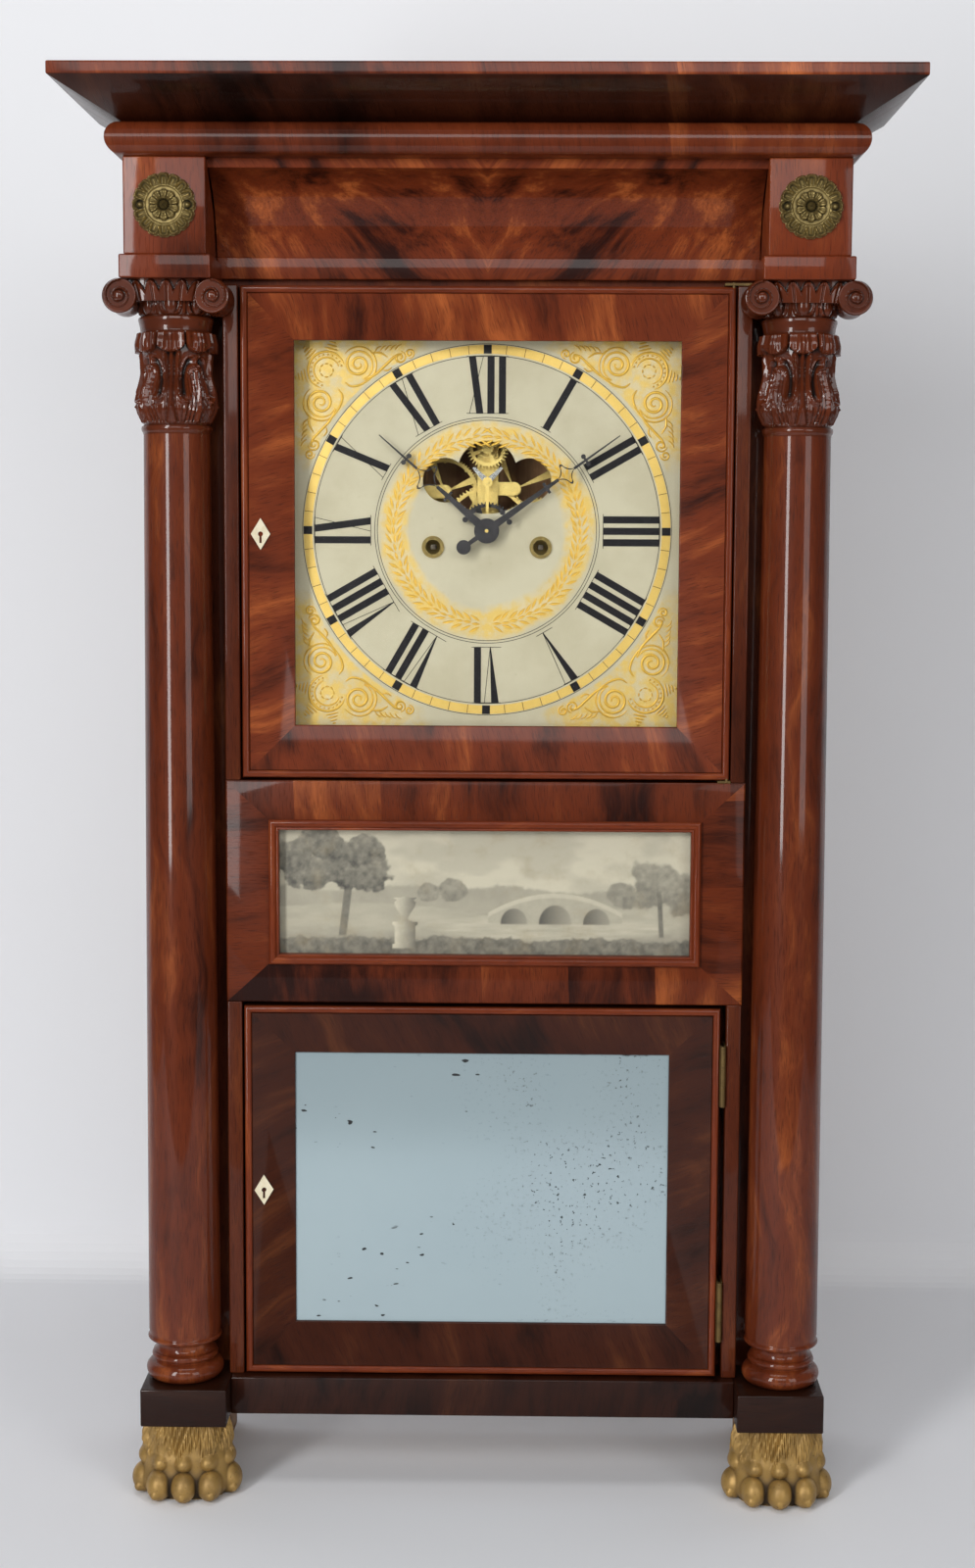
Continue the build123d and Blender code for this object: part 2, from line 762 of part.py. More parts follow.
def make_posts_and_panel():
    lower = block(post_inner, post_outer, carcass_front, post_front, plinth_top, panel_z)
    upper = block(post_inner, post_outer, carcass_front, post_front,
                  panel_top, upper_door_top + head_clearance)
    keep("door_posts", lower, upper, mirrored(lower), mirrored(upper))

    panel = block(-post_outer, post_outer, carcass_front, 0, panel_z, panel_top)
    mid_z = (panel_z + panel_top) / 2
    half_z = picture_height / 2
    sight_x = picture_half - picture_moulding_width
    sight_z = half_z - picture_moulding_width
    pocket_x = sight_x + picture_pocket_lap
    pocket_z = sight_z + picture_pocket_lap
    heights = (mid_z - pocket_z, mid_z + pocket_z)
    glass_back = -picture_pocket + card_thickness
    glass_front = glass_back + glass_thickness
    keep("middle_panel", panel - block(-pocket_x, pocket_x, -picture_pocket, 0, *heights))
    keep("picture_card", block(-pocket_x, pocket_x, -picture_pocket, glass_back, *heights))
    keep("picture_glass", block(-pocket_x, pocket_x, glass_back, glass_front, *heights))
    bead = block(-picture_half, picture_half, 0, picture_moulding_rise, mid_z - half_z, mid_z + half_z)
    bead = fillet(bead.edges().group_by(Axis.Y)[0], picture_moulding_rise * moulding_round_share)
    lip = block(-pocket_x, pocket_x, glass_front, 0, *heights)
    sight = block(-sight_x, sight_x, glass_front, picture_moulding_rise, mid_z - sight_z, mid_z + sight_z)
    keep("picture_moulding", bead + lip - sight)


# Dial and hands

def make_dial():
    window = Pos(0, window_dome_z) * Circle(window_dome)
    for side in (-1, 1):
        window = window + Pos(side * window_lobe_x, window_lobe_z) * Circle(window_lobe)
    bowl_depth = window_lobe_z - window_low
    bowl = Pos(0, window_low + window_bowl) * Circle(window_bowl)
    window = window + (bowl & Pos(0, window_low + bowl_depth / 2) * Rectangle(4 * window_bowl, bowl_depth))
    face = Pos(0, (dial_low + dial_high) / 2) * Rectangle(2 * dial_half, dial_high - dial_low)
    face = face - Pos(0, dial_z) * window - Pos(0, dial_z) * Circle(pipe_radius + pipe_hole_gap)
    dial_back = carcass_front - dial_thickness
    bezels = []
    for side in (-1, 1):
        place = Pos(side * winding_x, dial_z - winding_drop)
        face = face - place * Circle(bezel_tube)
        tube = slab_of(place * (Circle(bezel_tube) - Circle(bezel_hole)), dial_back, carcass_front)
        collar = slab_of(place * (Circle(bezel_radius) - Circle(bezel_hole)),
                         carcass_front, carcass_front + bezel_rise)
        bezels.append(tube + collar)
    keep("dial_board", slab_of(face, dial_back, carcass_front))
    keep("winding_bezels", *bezels)


def star(size):
    """A four-pointed star: a diamond whose sides are hollowed by circles."""
    wide = loop_share * size
    sketch = outline([(0, size), (wide, 0), (0, -size), (-wide, 0)])
    for side in (-1, 1):
        for level in (-1, 1):
            sketch = sketch - Pos(side * wide, level * size) * Circle(wide)
    return sketch


def tapered(root, end, low, high):
    """A bar along Z whose half width goes from root to end."""
    return outline([(-root, low), (-end, high), (end, high), (root, low)])


def hand_sketch(length, root, tail, loop_z, loop_size):
    """A pierced hand that points straight up: hub, shaft with cross bars, star loop and needle."""
    bite = loop_bite * loop_wall
    shaft_end = loop_z - loop_size
    needle_start = loop_z + loop_size
    sketch = Circle(hand_hub) + tapered(root, hand_shaft_end, 0, shaft_end + bite)
    sketch = sketch + tapered(hand_needle_root, hand_needle_tip, needle_start - bite, length)
    sketch = sketch + Pos(0, loop_z) * (star(loop_size) - star(loop_size - loop_wall))
    bars = [(hand_hub + low_bar_rise, low_bar), (shaft_end - mid_bar_drop, mid_bar),
            (needle_start + high_bar_rise, high_bar)]
    for z, (reach, thick, knob) in bars:
        sketch = sketch + Pos(0, z) * Rectangle(2 * reach, thick)
        if knob:
            sketch = sketch + Pos(-reach, z) * Circle(knob) + Pos(reach, z) * Circle(knob)
    if tail:
        sketch = sketch + tapered(hand_tail_root, hand_tail_end, 0, -tail)
        sketch = sketch + Pos(0, -tail) * Circle(hand_tail_disc)
    return sketch


def make_hands():
    hour_back = carcass_front + hour_hand_lift
    minute_back = carcass_front + minute_hand_lift
    hour = hand_sketch(hour_hand_length, hour_shaft_root, 0, hour_loop, hour_loop_size)
    hour = Rot(0, 0, -hour_hand_angle) * hour
    hour = Pos(0, dial_z) * (hour - Circle(cannon_radius + pivot_clearance))
    pipe = Pos(0, dial_z) * (Circle(pipe_radius) - Circle(cannon_radius + pivot_clearance))
    hour_plate = slab_of(hour, hour_back, hour_back + hand_thickness)
    keep("hour_hand", hour_plate + slab_of(pipe, hour_wheel_front, hour_back), make_hour_wheel())
    minute = hand_sketch(minute_hand_length, minute_shaft_root, hand_tail, minute_loop, minute_loop_size)
    minute = Rot(0, 0, -minute_hand_angle) * minute
    minute = Pos(0, dial_z) * (minute - Circle(arbor_radius + pivot_clearance))
    tube = Pos(0, dial_z) * (Circle(cannon_radius) - Circle(arbor_radius + pivot_clearance))
    minute_plate = slab_of(minute, minute_back, minute_back + hand_thickness)
    keep("minute_hand", minute_plate + slab_of(tube, cannon_front, minute_back), *make_cannon_pinion())


# Gears

def polygon_ring(radius, count, start=0.0):
    points = []
    for i in range(count):
        turn = start + 2 * math.pi * i / count
        points.append((radius * math.cos(turn), radius * math.sin(turn)))
    return points


def bore_polygon(radius):
    """A twelve-sided hole whose flats touch a round arbor."""
    return outline(polygon_ring(radius / math.cos(math.pi / 12), 12))


def toothed(teeth, module, phase):
    """Straight-flanked teeth, narrower than their spaces so that meshing pairs stay clear."""
    pitch_radius = teeth * module / 2
    root = pitch_radius - tooth_root_depth * module
    tip = pitch_radius + tooth_tip_height * module
    pitch = 2 * math.pi / teeth
    flank = [(root, tooth_root_half), (pitch_radius, tooth_pitch_half), (tip, tooth_tip_half)]
    points = []
    for i in range(teeth):
        for side, steps in ((-1, flank), (1, flank[::-1])):
            for radius, half in steps:
                turn = phase + (i + side * half) * pitch
                points.append((radius * math.cos(turn), radius * math.sin(turn)))
    return outline(points)


def sector(r0, r1, a0, a1):
    steps = 6
    outer = []
    inner = []
    for i in range(steps + 1):
        turn = a0 + (a1 - a0) * i / steps
        outer.append((r1 * math.cos(turn), r1 * math.sin(turn)))
        inner.append((r0 * math.cos(turn), r0 * math.sin(turn)))
    return outline(outer + inner[::-1])


def crossed_out(sketch, hub, rim, arms, arm_width, turn):
    """Cuts the spaces between the arms of a wheel."""
    for i in range(arms):
        a0 = turn + 2 * math.pi * i / arms
        a1 = turn + 2 * math.pi * (i + 1) / arms
        half = arm_width / 2 / ((hub + rim) / 2)
        sketch = sketch - sector(hub, rim, a0 + half, a1 - half)
    return sketch


def wheel(teeth, module, phase, bore, f0, thickness, x, z, arms=4):
    rim = teeth * module / 2 - tooth_root_depth * module - wheel_rim
    sketch = toothed(teeth, module, phase)
    hub = bore + wheel_hub
    if rim > hub + wheel_arm:
        sketch = crossed_out(sketch, hub, rim, arms, wheel_arm, wheel_arm_turn)
    sketch = sketch - bore_polygon(bore)
    return slab_of(Pos(x, dial_z + z) * sketch, f0, f0 + thickness)


def pinion(teeth, module, phase, bore, f0, f1, x, z):
    return slab_of(Pos(x, dial_z + z) * (toothed(teeth, module, phase) - bore_polygon(bore)), f0, f1)


def staff(x, z, front=front_plate_front):
    """An arbor between the plates with a thinner pivot at each end."""
    low = plates_inner_back + end_shake
    high = plates_inner_front - end_shake
    body = rod(x, dial_z + z, train_arbor, low, high)
    back = rod(x, dial_z + z, train_pivot, back_plate_back + pivot_short, low)
    return body + back + rod(x, dial_z + z, train_pivot, high, front)


def facing(a, b):
    return math.atan2(b[1] - a[1], b[0] - a[0])


def meet(a, b, teeth):
    """The phase that sets a space of wheel b against a tooth of wheel a."""
    return facing(a, b) + math.pi + math.pi / teeth


def third_point(a, ra, b, rb, side):
    """The point at distance ra from a and rb from b, on one side of the line between them."""
    span = math.dist(a, b)
    along = (ra * ra - rb * rb + span * span) / (2 * span)
    off = math.sqrt(ra * ra - along * along) * side
    ux = (b[0] - a[0]) / span
    uz = (b[1] - a[1]) / span
    return (a[0] + along * ux - off * uz, a[1] + along * uz + off * ux)


# Where the arbors stand, from the dial's centre
centre_at = (0.0, 0.0)
great_at = (winding_x, -winding_drop)
strike_at = (-winding_x, -winding_drop)
escape_at = (0.0, escape_height)
great_reach = (great_teeth + inter_pinion_teeth) * great_module / 2
inter_reach = (inter_teeth + centre_pinion_teeth) * inter_module / 2
inter_at = third_point(centre_at, inter_reach, great_at, great_reach, -1)
third_reach = (centre_teeth + third_pinion_teeth) * centre_module / 2
escape_reach = (third_teeth + escape_pinion_teeth) * third_module / 2
third_at = third_point(centre_at, third_reach, escape_at, escape_reach, -1)
pin_turn = math.radians(pin_wheel_bearing)
pin_at = (strike_at[0] + great_reach * math.cos(pin_turn), strike_at[1] + great_reach * math.sin(pin_turn))
fly_reach = (pin_teeth + fly_pinion_teeth) * pin_module / 2
fly_turn = math.radians(fly_bearing)
fly_at = (pin_at[0] + fly_reach * math.cos(fly_turn), pin_at[1] + fly_reach * math.sin(fly_turn))
motion_reach = (cannon_teeth + minute_teeth) * cannon_module / 2
motion_at = (0.0, -motion_reach)
hammer_at = (-hammer_left, -hammer_low)
verge_at = (0.0, verge_height)
pillar_x = plate_half_width - pillar_inset_x
pillar_z = plate_half_height - pillar_inset_z


def great_pinion(place, partner):
    """The pinion on a second arbor that a great wheel drives."""
    return pinion(inter_pinion_teeth, great_module, meet(place, partner, inter_pinion_teeth), train_arbor,
                  great_back - great_pinion_lap, great_back + great_thickness + great_pinion_lap, *partner)


def make_going_train():
    x, z = centre_at
    arbor = rod(x, dial_z + z, arbor_radius,
                back_plate_back + pivot_short, carcass_front + centre_arbor_reach)
    keep("centre_wheel",
         wheel(centre_teeth, centre_module, facing(centre_at, third_at), arbor_radius,
               centre_back, wheel_thickness, x, z),
         pinion(centre_pinion_teeth, inter_module, meet(inter_at, centre_at, centre_pinion_teeth),
                arbor_radius, inter_back - centre_pinion_back, inter_back + centre_pinion_front, x, z),
         arbor)
    x, z = inter_at
    keep("intermediate_wheel",
         wheel(inter_teeth, inter_module, facing(inter_at, centre_at), train_arbor,
               inter_back, inter_thickness, x, z),
         great_pinion(great_at, inter_at),
         staff(x, z))
    x, z = third_at
    keep("third_wheel",
         wheel(third_teeth, third_module, facing(third_at, escape_at), train_arbor,
               third_back, wheel_thickness, x, z),
         pinion(third_pinion_teeth, centre_module, meet(centre_at, third_at, third_pinion_teeth),
                train_arbor, centre_back - pinion_lap, centre_back + wheel_thickness + pinion_lap, x, z),
         staff(x, z))
    x, z = escape_at
    points = []
    pitch = 2 * math.pi / escape_teeth
    for i in range(escape_teeth):
        for at_tip, share in escape_tooth:
            radius = escape_radius if at_tip else escape_radius - escape_tooth_depth
            turn = (i + share) * pitch
            points.append((radius * math.cos(turn), radius * math.sin(turn)))
    ratchet = outline(points) - bore_polygon(train_pivot)
    ratchet = crossed_out(ratchet, escape_hub, escape_radius - escape_rim, 4, escape_arm, wheel_arm_turn)
    keep("escape_wheel",
         slab_of(Pos(x, dial_z + z) * ratchet, escape_back, escape_back + wheel_thickness),
         pinion(escape_pinion_teeth, third_module, meet(third_at, escape_at, escape_pinion_teeth),
                train_arbor, third_back - pinion_lap, third_back + wheel_thickness + pinion_lap, x, z),
         staff(x, z, front=escape_back + wheel_thickness + escape_arbor_end))


def great_wheel(place, partner):
    """The first wheel of a train, loose on its winding arbor."""
    return wheel(great_teeth, great_module, facing(place, partner), drum_arbor + pivot_clearance,
                 great_back, great_thickness, place[0], place[1], arms=5)


def winding_drum(place):
    """A cord drum with two flanges on a winding arbor with a square end behind the dial."""
    x = place[0]
    z = dial_z + place[1]
    low = drum_back
    high = drum_back + drum_length
    inner = plates_inner_back + end_shake
    outer = plates_inner_front - end_shake
    square_back = front_plate_front + winding_square_start
    solid = rod(x, z, drum_arbor, inner, outer) + rod(x, z, drum_radius, low, high)
    for base in (low, high - drum_flange_thickness):
        solid = solid + rod(x, z, drum_radius + drum_flange, base, base + drum_flange_thickness)
    solid = solid + rod(x, z, drum_back_pivot, back_plate_back + pivot_short, inner)
    solid = solid + rod(x, z, drum_front_pivot, outer, square_back)
    square = Pos(x, z) * Rectangle(winding_square, winding_square)
    return solid + slab_of(square, square_back, carcass_front - winding_square_gap)


def make_drums_and_strike():
    keep("time_great_wheel", great_wheel(great_at, inter_at))
    keep("strike_great_wheel", great_wheel(strike_at, pin_at))
    keep("time_drum", winding_drum(great_at))
    keep("strike_drum", winding_drum(strike_at))
    x, z = pin_at
    pins = []
    for px, pz in polygon_ring(pin_teeth * pin_module / 2 - lifting_pin_inset, lifting_pins):
        pins.append(rod(x + px, dial_z + z + pz, lifting_pin_radius, pin_back - lifting_pin, pin_back))
    keep("pin_wheel",
         wheel(pin_teeth, pin_module, facing(pin_at, fly_at), train_arbor, pin_back, wheel_thickness, x, z),
         great_pinion(strike_at, pin_at), staff(x, z), *pins)
    x, z = fly_at
    vane = Pos(x, dial_z + z) * (Rectangle(vane_length, vane_thickness) - Circle(train_arbor))
    vane = slab_of(vane, great_back + vane_back_gap, pin_back - vane_front_gap)
    keep("strike_fly", vane,
         pinion(fly_pinion_teeth, pin_module, meet(pin_at, fly_at, fly_pinion_teeth), train_arbor,
                pin_back - pinion_lap, pin_back + wheel_thickness + pinion_lap, x, z),
         staff(x, z))
    x, z = hammer_at
    reach_x = bell_x - bell_radius - hammer_head - hammer_gap - x
    reach_z = bell_z - (dial_z + z)
    length = math.hypot(reach_x, reach_z)
    hammer_f = drum_back + hammer_forward
    lean = math.degrees(math.atan2(reach_x, -reach_z))
    bar = Pos(0, -length / 2) * Rectangle(hammer_bar, length) - Circle(hammer_bar_bore)
    bar = Pos(x, dial_z + z) * Rot(0, 0, lean) * bar
    head = rod(x + reach_x, bell_z, hammer_head, hammer_f - hammer_head_back, hammer_f + hammer_head_front)
    keep("strike_hammer", staff(x, z) + slab_of(bar, hammer_f, hammer_f + hammer_bar_thickness) + head)


# The bell on its post at the back of the case

def make_bell():
    outer = [(share * bell_radius, rise * bell_depth) for share, rise in bell_curve]
    crown, shoulder, waist = outer
    inner = [(waist[0] - bell_wall, waist[1]), (shoulder[0] - bell_wall, shoulder[1] - bell_wall),
             (crown[0], crown[1] - bell_wall), (0, bell_depth - bell_wall)]
    cup = [(0, bell_depth), *outer, (bell_radius, 0), (bell_radius - bell_wall, 0), *inner]
    mouth = backboard_front + bell_mouth_gap
    stem = rod(bell_x, bell_z, bell_post, backboard_front, mouth + bell_depth - bell_wall)
    keep("bell", faced(cup, bell_x, mouth, bell_z), stem)


# Plates, pillars, escapement and pendulum

def strap(a, b, half):
    """A flat bar with round ends between two arbor places."""
    span = math.dist(a, b)
    turn = math.degrees(facing(a, b))
    bar = Pos((a[0] + b[0]) / 2, (a[1] + b[1]) / 2) * Rot(0, 0, turn) * Rectangle(span, 2 * half)
    return bar + Pos(*a) * Circle(half) + Pos(*b) * Circle(half)


def plate_outline():
    px = pillar_x
    pz = pillar_z
    sketch = strap((0, -pz), (0, pz), middle_strap)
    sketch = sketch + strap((-px, -winding_drop), (px, -winding_drop), middle_strap)
    for side in (-1, 1):
        sketch = sketch + strap((side * px, -pz), (side * px, pz), edge_strap)
        sketch = sketch + strap((-px, side * pz), (px, side * pz), edge_strap)
    arms = [(0, third_at, arbor_strap), (0, inter_at, arbor_strap), (-px, pin_at, arbor_strap),
            (-px, fly_at, light_strap), (-px, hammer_at, light_strap)]
    for from_x, place, half in arms:
        sketch = sketch + strap((from_x, place[1]), place, half)
    return sketch


def make_plates():
    front = plate_outline() - Circle(arbor_radius + pivot_clearance)
    for place in (inter_at, third_at, escape_at, pin_at, fly_at, hammer_at):
        front = front - Pos(*place) * Circle(train_pivot + pivot_clearance)
    back = front
    for place in (great_at, strike_at):
        front = front - Pos(*place) * Circle(drum_front_pivot + pivot_clearance)
        back = back - Pos(*place) * Circle(drum_back_pivot + pivot_clearance)
    lift = Pos(0, dial_z)
    front_solid = slab_of(lift * front, plates_inner_front, front_plate_front)
    verge_stud = rod(verge_at[0], dial_z + verge_at[1], stud_radius,
                     front_plate_front, rod_back + verge_stud_reach)
    motion_stud = rod(motion_at[0], dial_z + motion_at[1], stud_radius,
                      front_plate_front, hour_wheel_front + motion_stud_reach)
    keep("front_plate", front_solid + verge_stud + motion_stud)
    pillars = [slab_of(lift * back, back_plate_back, plates_inner_back)]
    for side in (-1, 1):
        for level in (-1, 1):
            pillars.append(rod(side * pillar_x, dial_z + level * pillar_z, pillar_radius,
                               plates_inner_back, plates_inner_front))
    keep("back_plate", *pillars)


def make_escapement():
    x, z = verge_at
    right = [(px, z + rise) for px, rise in verge_arm]
    left = [(-px, pz) for px, pz in right[:0:-1]]
    arms = outline([*right, (0, z - verge_hub), *left])
    bore = Pos(x, z) * Circle(stud_radius + pivot_clearance)
    strip = Pos(0, dial_z) * (arms + Pos(x, z) * Circle(verge_hub) - bore)
    keep("verge", slab_of(strip, escape_back, escape_back + wheel_thickness))

    bob_at = z - pendulum_length
    ring_lap = pendulum_ring - pendulum_ring_lap
    upper_top = z - pendulum_eye + pendulum_eye_lap
    lower_end = bob_at + bob_radius - bob_lap
    sketch = Circle(pendulum_ring) - Circle(pendulum_ring_inner) + (Pos(x, z) * Circle(pendulum_eye) - bore)
    for top, end in ((upper_top, ring_lap), (-ring_lap, lower_end)):
        sketch = sketch + Pos(0, (top + end) / 2) * Rectangle(pendulum_rod, top - end)
    bar = slab_of(Pos(0, dial_z) * sketch, rod_back, rod_back + pendulum_rod)
    half = bob_thickness / 2
    bulge = (bob_radius * bob_mid_share, half * bob_mid_thickness)
    lens = [(0, -half), (bulge[0], -bulge[1]), (bob_radius, 0), bulge, (0, half)]
    disc = faced(lens, 0, rod_back + pendulum_rod / 2, dial_z + bob_at)
    keep("pendulum", bar, disc - bar)


# Motion work between the front plate and the dial

def make_cannon_pinion():
    lift = Pos(0, dial_z)
    cannon = toothed(cannon_teeth, cannon_module, facing(centre_at, motion_at)) - bore_polygon(cannon_radius)
    bush = bore_polygon(cannon_radius) - Circle(arbor_radius + pivot_clearance)
    return [slab_of(lift * sketch, cannon_back, cannon_front) for sketch in (cannon, bush)]


def make_hour_wheel():
    hour = toothed(hour_teeth, hour_module, meet(motion_at, centre_at, hour_teeth))
    rim = hour_teeth * hour_module / 2 - tooth_root_depth * hour_module - wheel_rim
    hour = crossed_out(hour, pipe_radius + wheel_hub, rim, 4, wheel_arm, wheel_arm_turn)
    hour = hour - bore_polygon(cannon_radius + pivot_clearance)
    return slab_of(Pos(0, dial_z) * hour, hour_wheel_back, hour_wheel_front)


def make_minute_wheel():
    x, z = motion_at
    big = toothed(minute_teeth, cannon_module, meet(centre_at, motion_at, minute_teeth))
    small = toothed(minute_pinion_teeth, hour_module, facing(motion_at, centre_at))
    hole = bore_polygon(stud_radius + pivot_clearance)
    place = Pos(x, dial_z + z)
    step = cannon_front - minute_wheel_shy
    keep("minute_wheel", slab_of(place * (big - hole), cannon_back + minute_wheel_shy, step),
         slab_of(place * (small - hole), step, hour_wheel_front + minute_pinion_reach))


# Weights, cords and pulleys

def tangent_between(c1, r1, c2, r2):
    """The end points of the line that leaves circle 1 on its right and meets circle 2 on its left."""
    span = math.dist(c1, c2)
    base = facing(c1, c2)
    swing = math.asin((r1 + r2) / span)
    turn = base + swing
    right = (math.sin(turn), -math.cos(turn))
    a = (c1[0] + r1 * right[0], c1[1] + r1 * right[1])
    b = (c2[0] - r2 * right[0], c2[1] - r2 * right[1])
    return a, b


def make_weights():
    drum = (winding_x, dial_z - winding_drop)
    sheave = (pulley_x, pulley_z)
    hang_x = pulley_x + sheave_radius
    weight_low = foot_height + board + weight_bottom_gap
    weight_top = weight_low + weight_height
    hook_top = weight_top + weight_hook
    r = weight_radius
    body = turned([(0, weight_low), (r - weight_low_round, weight_low), (r, weight_low + weight_low_round),
                   (r, weight_top - weight_top_round), (r - weight_top_round, weight_top),
                   (weight_hook_radius, weight_top), (weight_hook_radius, hook_top), (0, hook_top)],
                  hang_x, hang_forward)
    keep("time_weight", body)
    keep("strike_weight", mirrored(body))

    start, land = tangent_between(drum, wind_radius, sheave, sheave_radius)
    with BuildLine(front_plane(hang_forward)) as path:
        Line(start, land)
        leave = (hang_x, pulley_z)
        middle = facing(sheave, land) / 2
        bow = (pulley_x + sheave_radius * math.cos(middle), pulley_z + sheave_radius * math.sin(middle))
        ThreePointArc(land, bow, leave)
        Line(leave, (hang_x, hook_top))
    section = path.line ^ 0
    cut = Plane(section.position, z_dir=section.z_axis.direction) * Circle(cord_radius)
    cord = sweep(cut, path=path.line)
    keep("time_cord", cord)
    keep("strike_cord", mirrored(cord))

    groove = pulley_radius - sheave_floor_gap
    flange = pulley_radius + sheave_flange
    bore = sheave_axle + pivot_clearance
    half = sheave_half
    sheave = [(bore, -half), (flange, -half), (flange, -half + sheave_rim), (groove, -sheave_floor_half),
              (groove, sheave_floor_half), (flange, half - sheave_rim), (flange, half), (bore, half)]
    pulley = faced(sheave, pulley_x, hang_forward, pulley_z)
    keep("time_pulley", pulley)
    keep("strike_pulley", mirrored(pulley))
    near = half + bracket_gap
    far = near + bracket_cheek
    sides = (pulley_x - bracket_half, pulley_x + bracket_half)
    head_low = roll_z - bracket_cheek
    bracket = block(*sides, hang_forward - far, hang_forward + far, head_low, roll_z)
    for inner, outer in ((near, far), (-far, -near)):
        bracket = bracket + block(*sides, hang_forward + inner, hang_forward + outer,
                                  pulley_z - bracket_half, head_low)
    bracket = bracket + rod(pulley_x, pulley_z, sheave_axle, hang_forward - far, hang_forward + far)
    keep("pulley_brackets", bracket, mirrored(bracket))


make_carcass()
make_entablature()
make_columns()
make_capitals()
make_feet()
make_posts_and_panel()
keep("case_hinge_plates", *make_upper_door(), *make_lower_door())
make_dial()
make_hands()
make_going_train()
make_drums_and_strike()
make_bell()
make_plates()
make_escapement()
make_minute_wheel()
make_weights()

os.makedirs("parts", exist_ok=True)
for node, shape in parts.items():
    export_step(shape, f"parts/{node}.step")
print(len(parts), "nodes")
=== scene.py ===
# %% [markdown]
# A column shelf clock in three tiers
# This lesson dresses a clock whose solid pieces are already made and packed. The frame brings those pieces in
# at their real places. Flat and hidden pieces keep their solids and only get a finish. Mouldings, turned
# columns, carving and the painted dial are worked out here as surfaces, because they need softer edges and
# finer relief than the solids have.

# %% Load the frame
import json
import math
import bmesh
import bpy
import numpy as np
from mathutils import Matrix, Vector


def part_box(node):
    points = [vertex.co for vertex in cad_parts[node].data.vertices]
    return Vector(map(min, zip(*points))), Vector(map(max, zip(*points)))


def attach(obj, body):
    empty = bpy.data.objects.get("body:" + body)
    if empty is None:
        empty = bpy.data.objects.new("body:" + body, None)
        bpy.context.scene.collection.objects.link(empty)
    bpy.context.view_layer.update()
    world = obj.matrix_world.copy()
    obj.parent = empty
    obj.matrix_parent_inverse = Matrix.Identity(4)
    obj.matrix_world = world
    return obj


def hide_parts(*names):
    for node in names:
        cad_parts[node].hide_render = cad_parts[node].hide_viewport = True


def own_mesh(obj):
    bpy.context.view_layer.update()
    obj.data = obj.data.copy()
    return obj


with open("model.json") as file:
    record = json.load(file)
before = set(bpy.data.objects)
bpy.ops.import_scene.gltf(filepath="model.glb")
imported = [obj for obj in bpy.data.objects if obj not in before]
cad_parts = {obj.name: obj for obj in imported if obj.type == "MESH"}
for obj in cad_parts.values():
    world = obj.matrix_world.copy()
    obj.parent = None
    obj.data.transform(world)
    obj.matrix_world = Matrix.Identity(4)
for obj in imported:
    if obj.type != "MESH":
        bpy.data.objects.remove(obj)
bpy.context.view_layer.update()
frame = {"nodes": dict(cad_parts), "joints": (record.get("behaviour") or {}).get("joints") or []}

# %% [markdown]
# Places and sizes
# A case maker measures in millimetres from the face of the doors, so this lesson does too. A point is
# (x, forward, z): x to the right, forward towards the viewer from the door face, z up from the floor. The
# helper below reads a node's box in those terms, so that every new piece sits exactly where its solid sits.

# %% Read places from the frame
MM = 0.001
DOOR_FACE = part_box("upper_door_frame")[0][1] / MM


def span(node):
    """A node's box at rest in millimetres: left, right, back, front, low, high."""
    low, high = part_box(node)
    left, right = low[0] / MM, high[0] / MM
    back, front = DOOR_FACE - high[1] / MM, DOOR_FACE - low[1] / MM
    return left, right, back, front, low[2] / MM, high[2] / MM


def front_of(box):
    """The left, right, low and high of a box."""
    return box[0], box[1], box[4], box[5]


def middle_of(box):
    """The middle of a box: x, forward, z."""
    return [(box[k] + box[k + 1]) / 2 for k in (0, 2, 4)]


def to_world(points):
    """Millimetres (x, forward, z) become metres (x, y, z): y runs away from the viewer."""
    x, forward, z = np.moveaxis(np.asarray(points, float), -1, 0)
    return np.stack([x, DOOR_FACE - forward, z], -1) * MM


CORNICE = span("cornice")
UPPER = span("upper_door_frame")
LOWER = span("lower_door_frame")
DIAL_FACE = span("dial_board")[3]
print("door face at y", round(DOOR_FACE, 2), "mm")
print("case", round(CORNICE[1] - CORNICE[0]), "mm wide and", round(CORNICE[5]), "mm high")

# %% [markdown]
# From a grid of points to a mesh
# A surface here is a grid: rows by columns of points worked out with numpy. Neighbouring points make a quad.
# A ring of columns is closed by letting the last column meet the first. Where a row shrinks to one point, as
# at the middle of a disc, the doubled points are merged afterwards, and the normals are turned outwards.

# %% Mesh helpers
MERGE = 2e-6
SHARP = math.radians(32)


def quads(rows, cols, ring_rows, ring_cols):
    """Corner numbers of the quads of a grid, which may close on itself either way."""
    r, c = np.meshgrid(np.arange(rows if ring_rows else rows - 1),
                       np.arange(cols if ring_cols else cols - 1), indexing="ij")
    r2, c2 = (r + 1) % rows, (c + 1) % cols
    return np.stack([r * cols + c, r * cols + c2, r2 * cols + c2, r2 * cols + c], -1).reshape(-1, 4)


def patch(points, ring_rows=False, ring_cols=False, uv=None, relief=None):
    """One grid of (x, forward, z) points, with its map coordinates and its carving depth from 0 to 1."""
    points = np.asarray(points, float)
    rows, cols = points.shape[:2]
    flat_uv = np.zeros((rows * cols, 2)) if uv is None else np.asarray(uv, float).reshape(-1, 2)
    flat_relief = np.ones(rows * cols) if relief is None else np.asarray(relief, float).reshape(-1)
    return to_world(points).reshape(-1, 3), quads(rows, cols, ring_rows, ring_cols), flat_uv, flat_relief


def to_middle(loop):
    """Two rows that close a loop of points: the loop itself, and its middle."""
    return np.stack([loop, np.broadcast_to(loop.mean(0), loop.shape)])


def lids(wall):
    """The first and last rows of a ring of columns, each closed to its middle."""
    return [patch(to_middle(end), ring_cols=True) for end in (wall[0], wall[-1])]


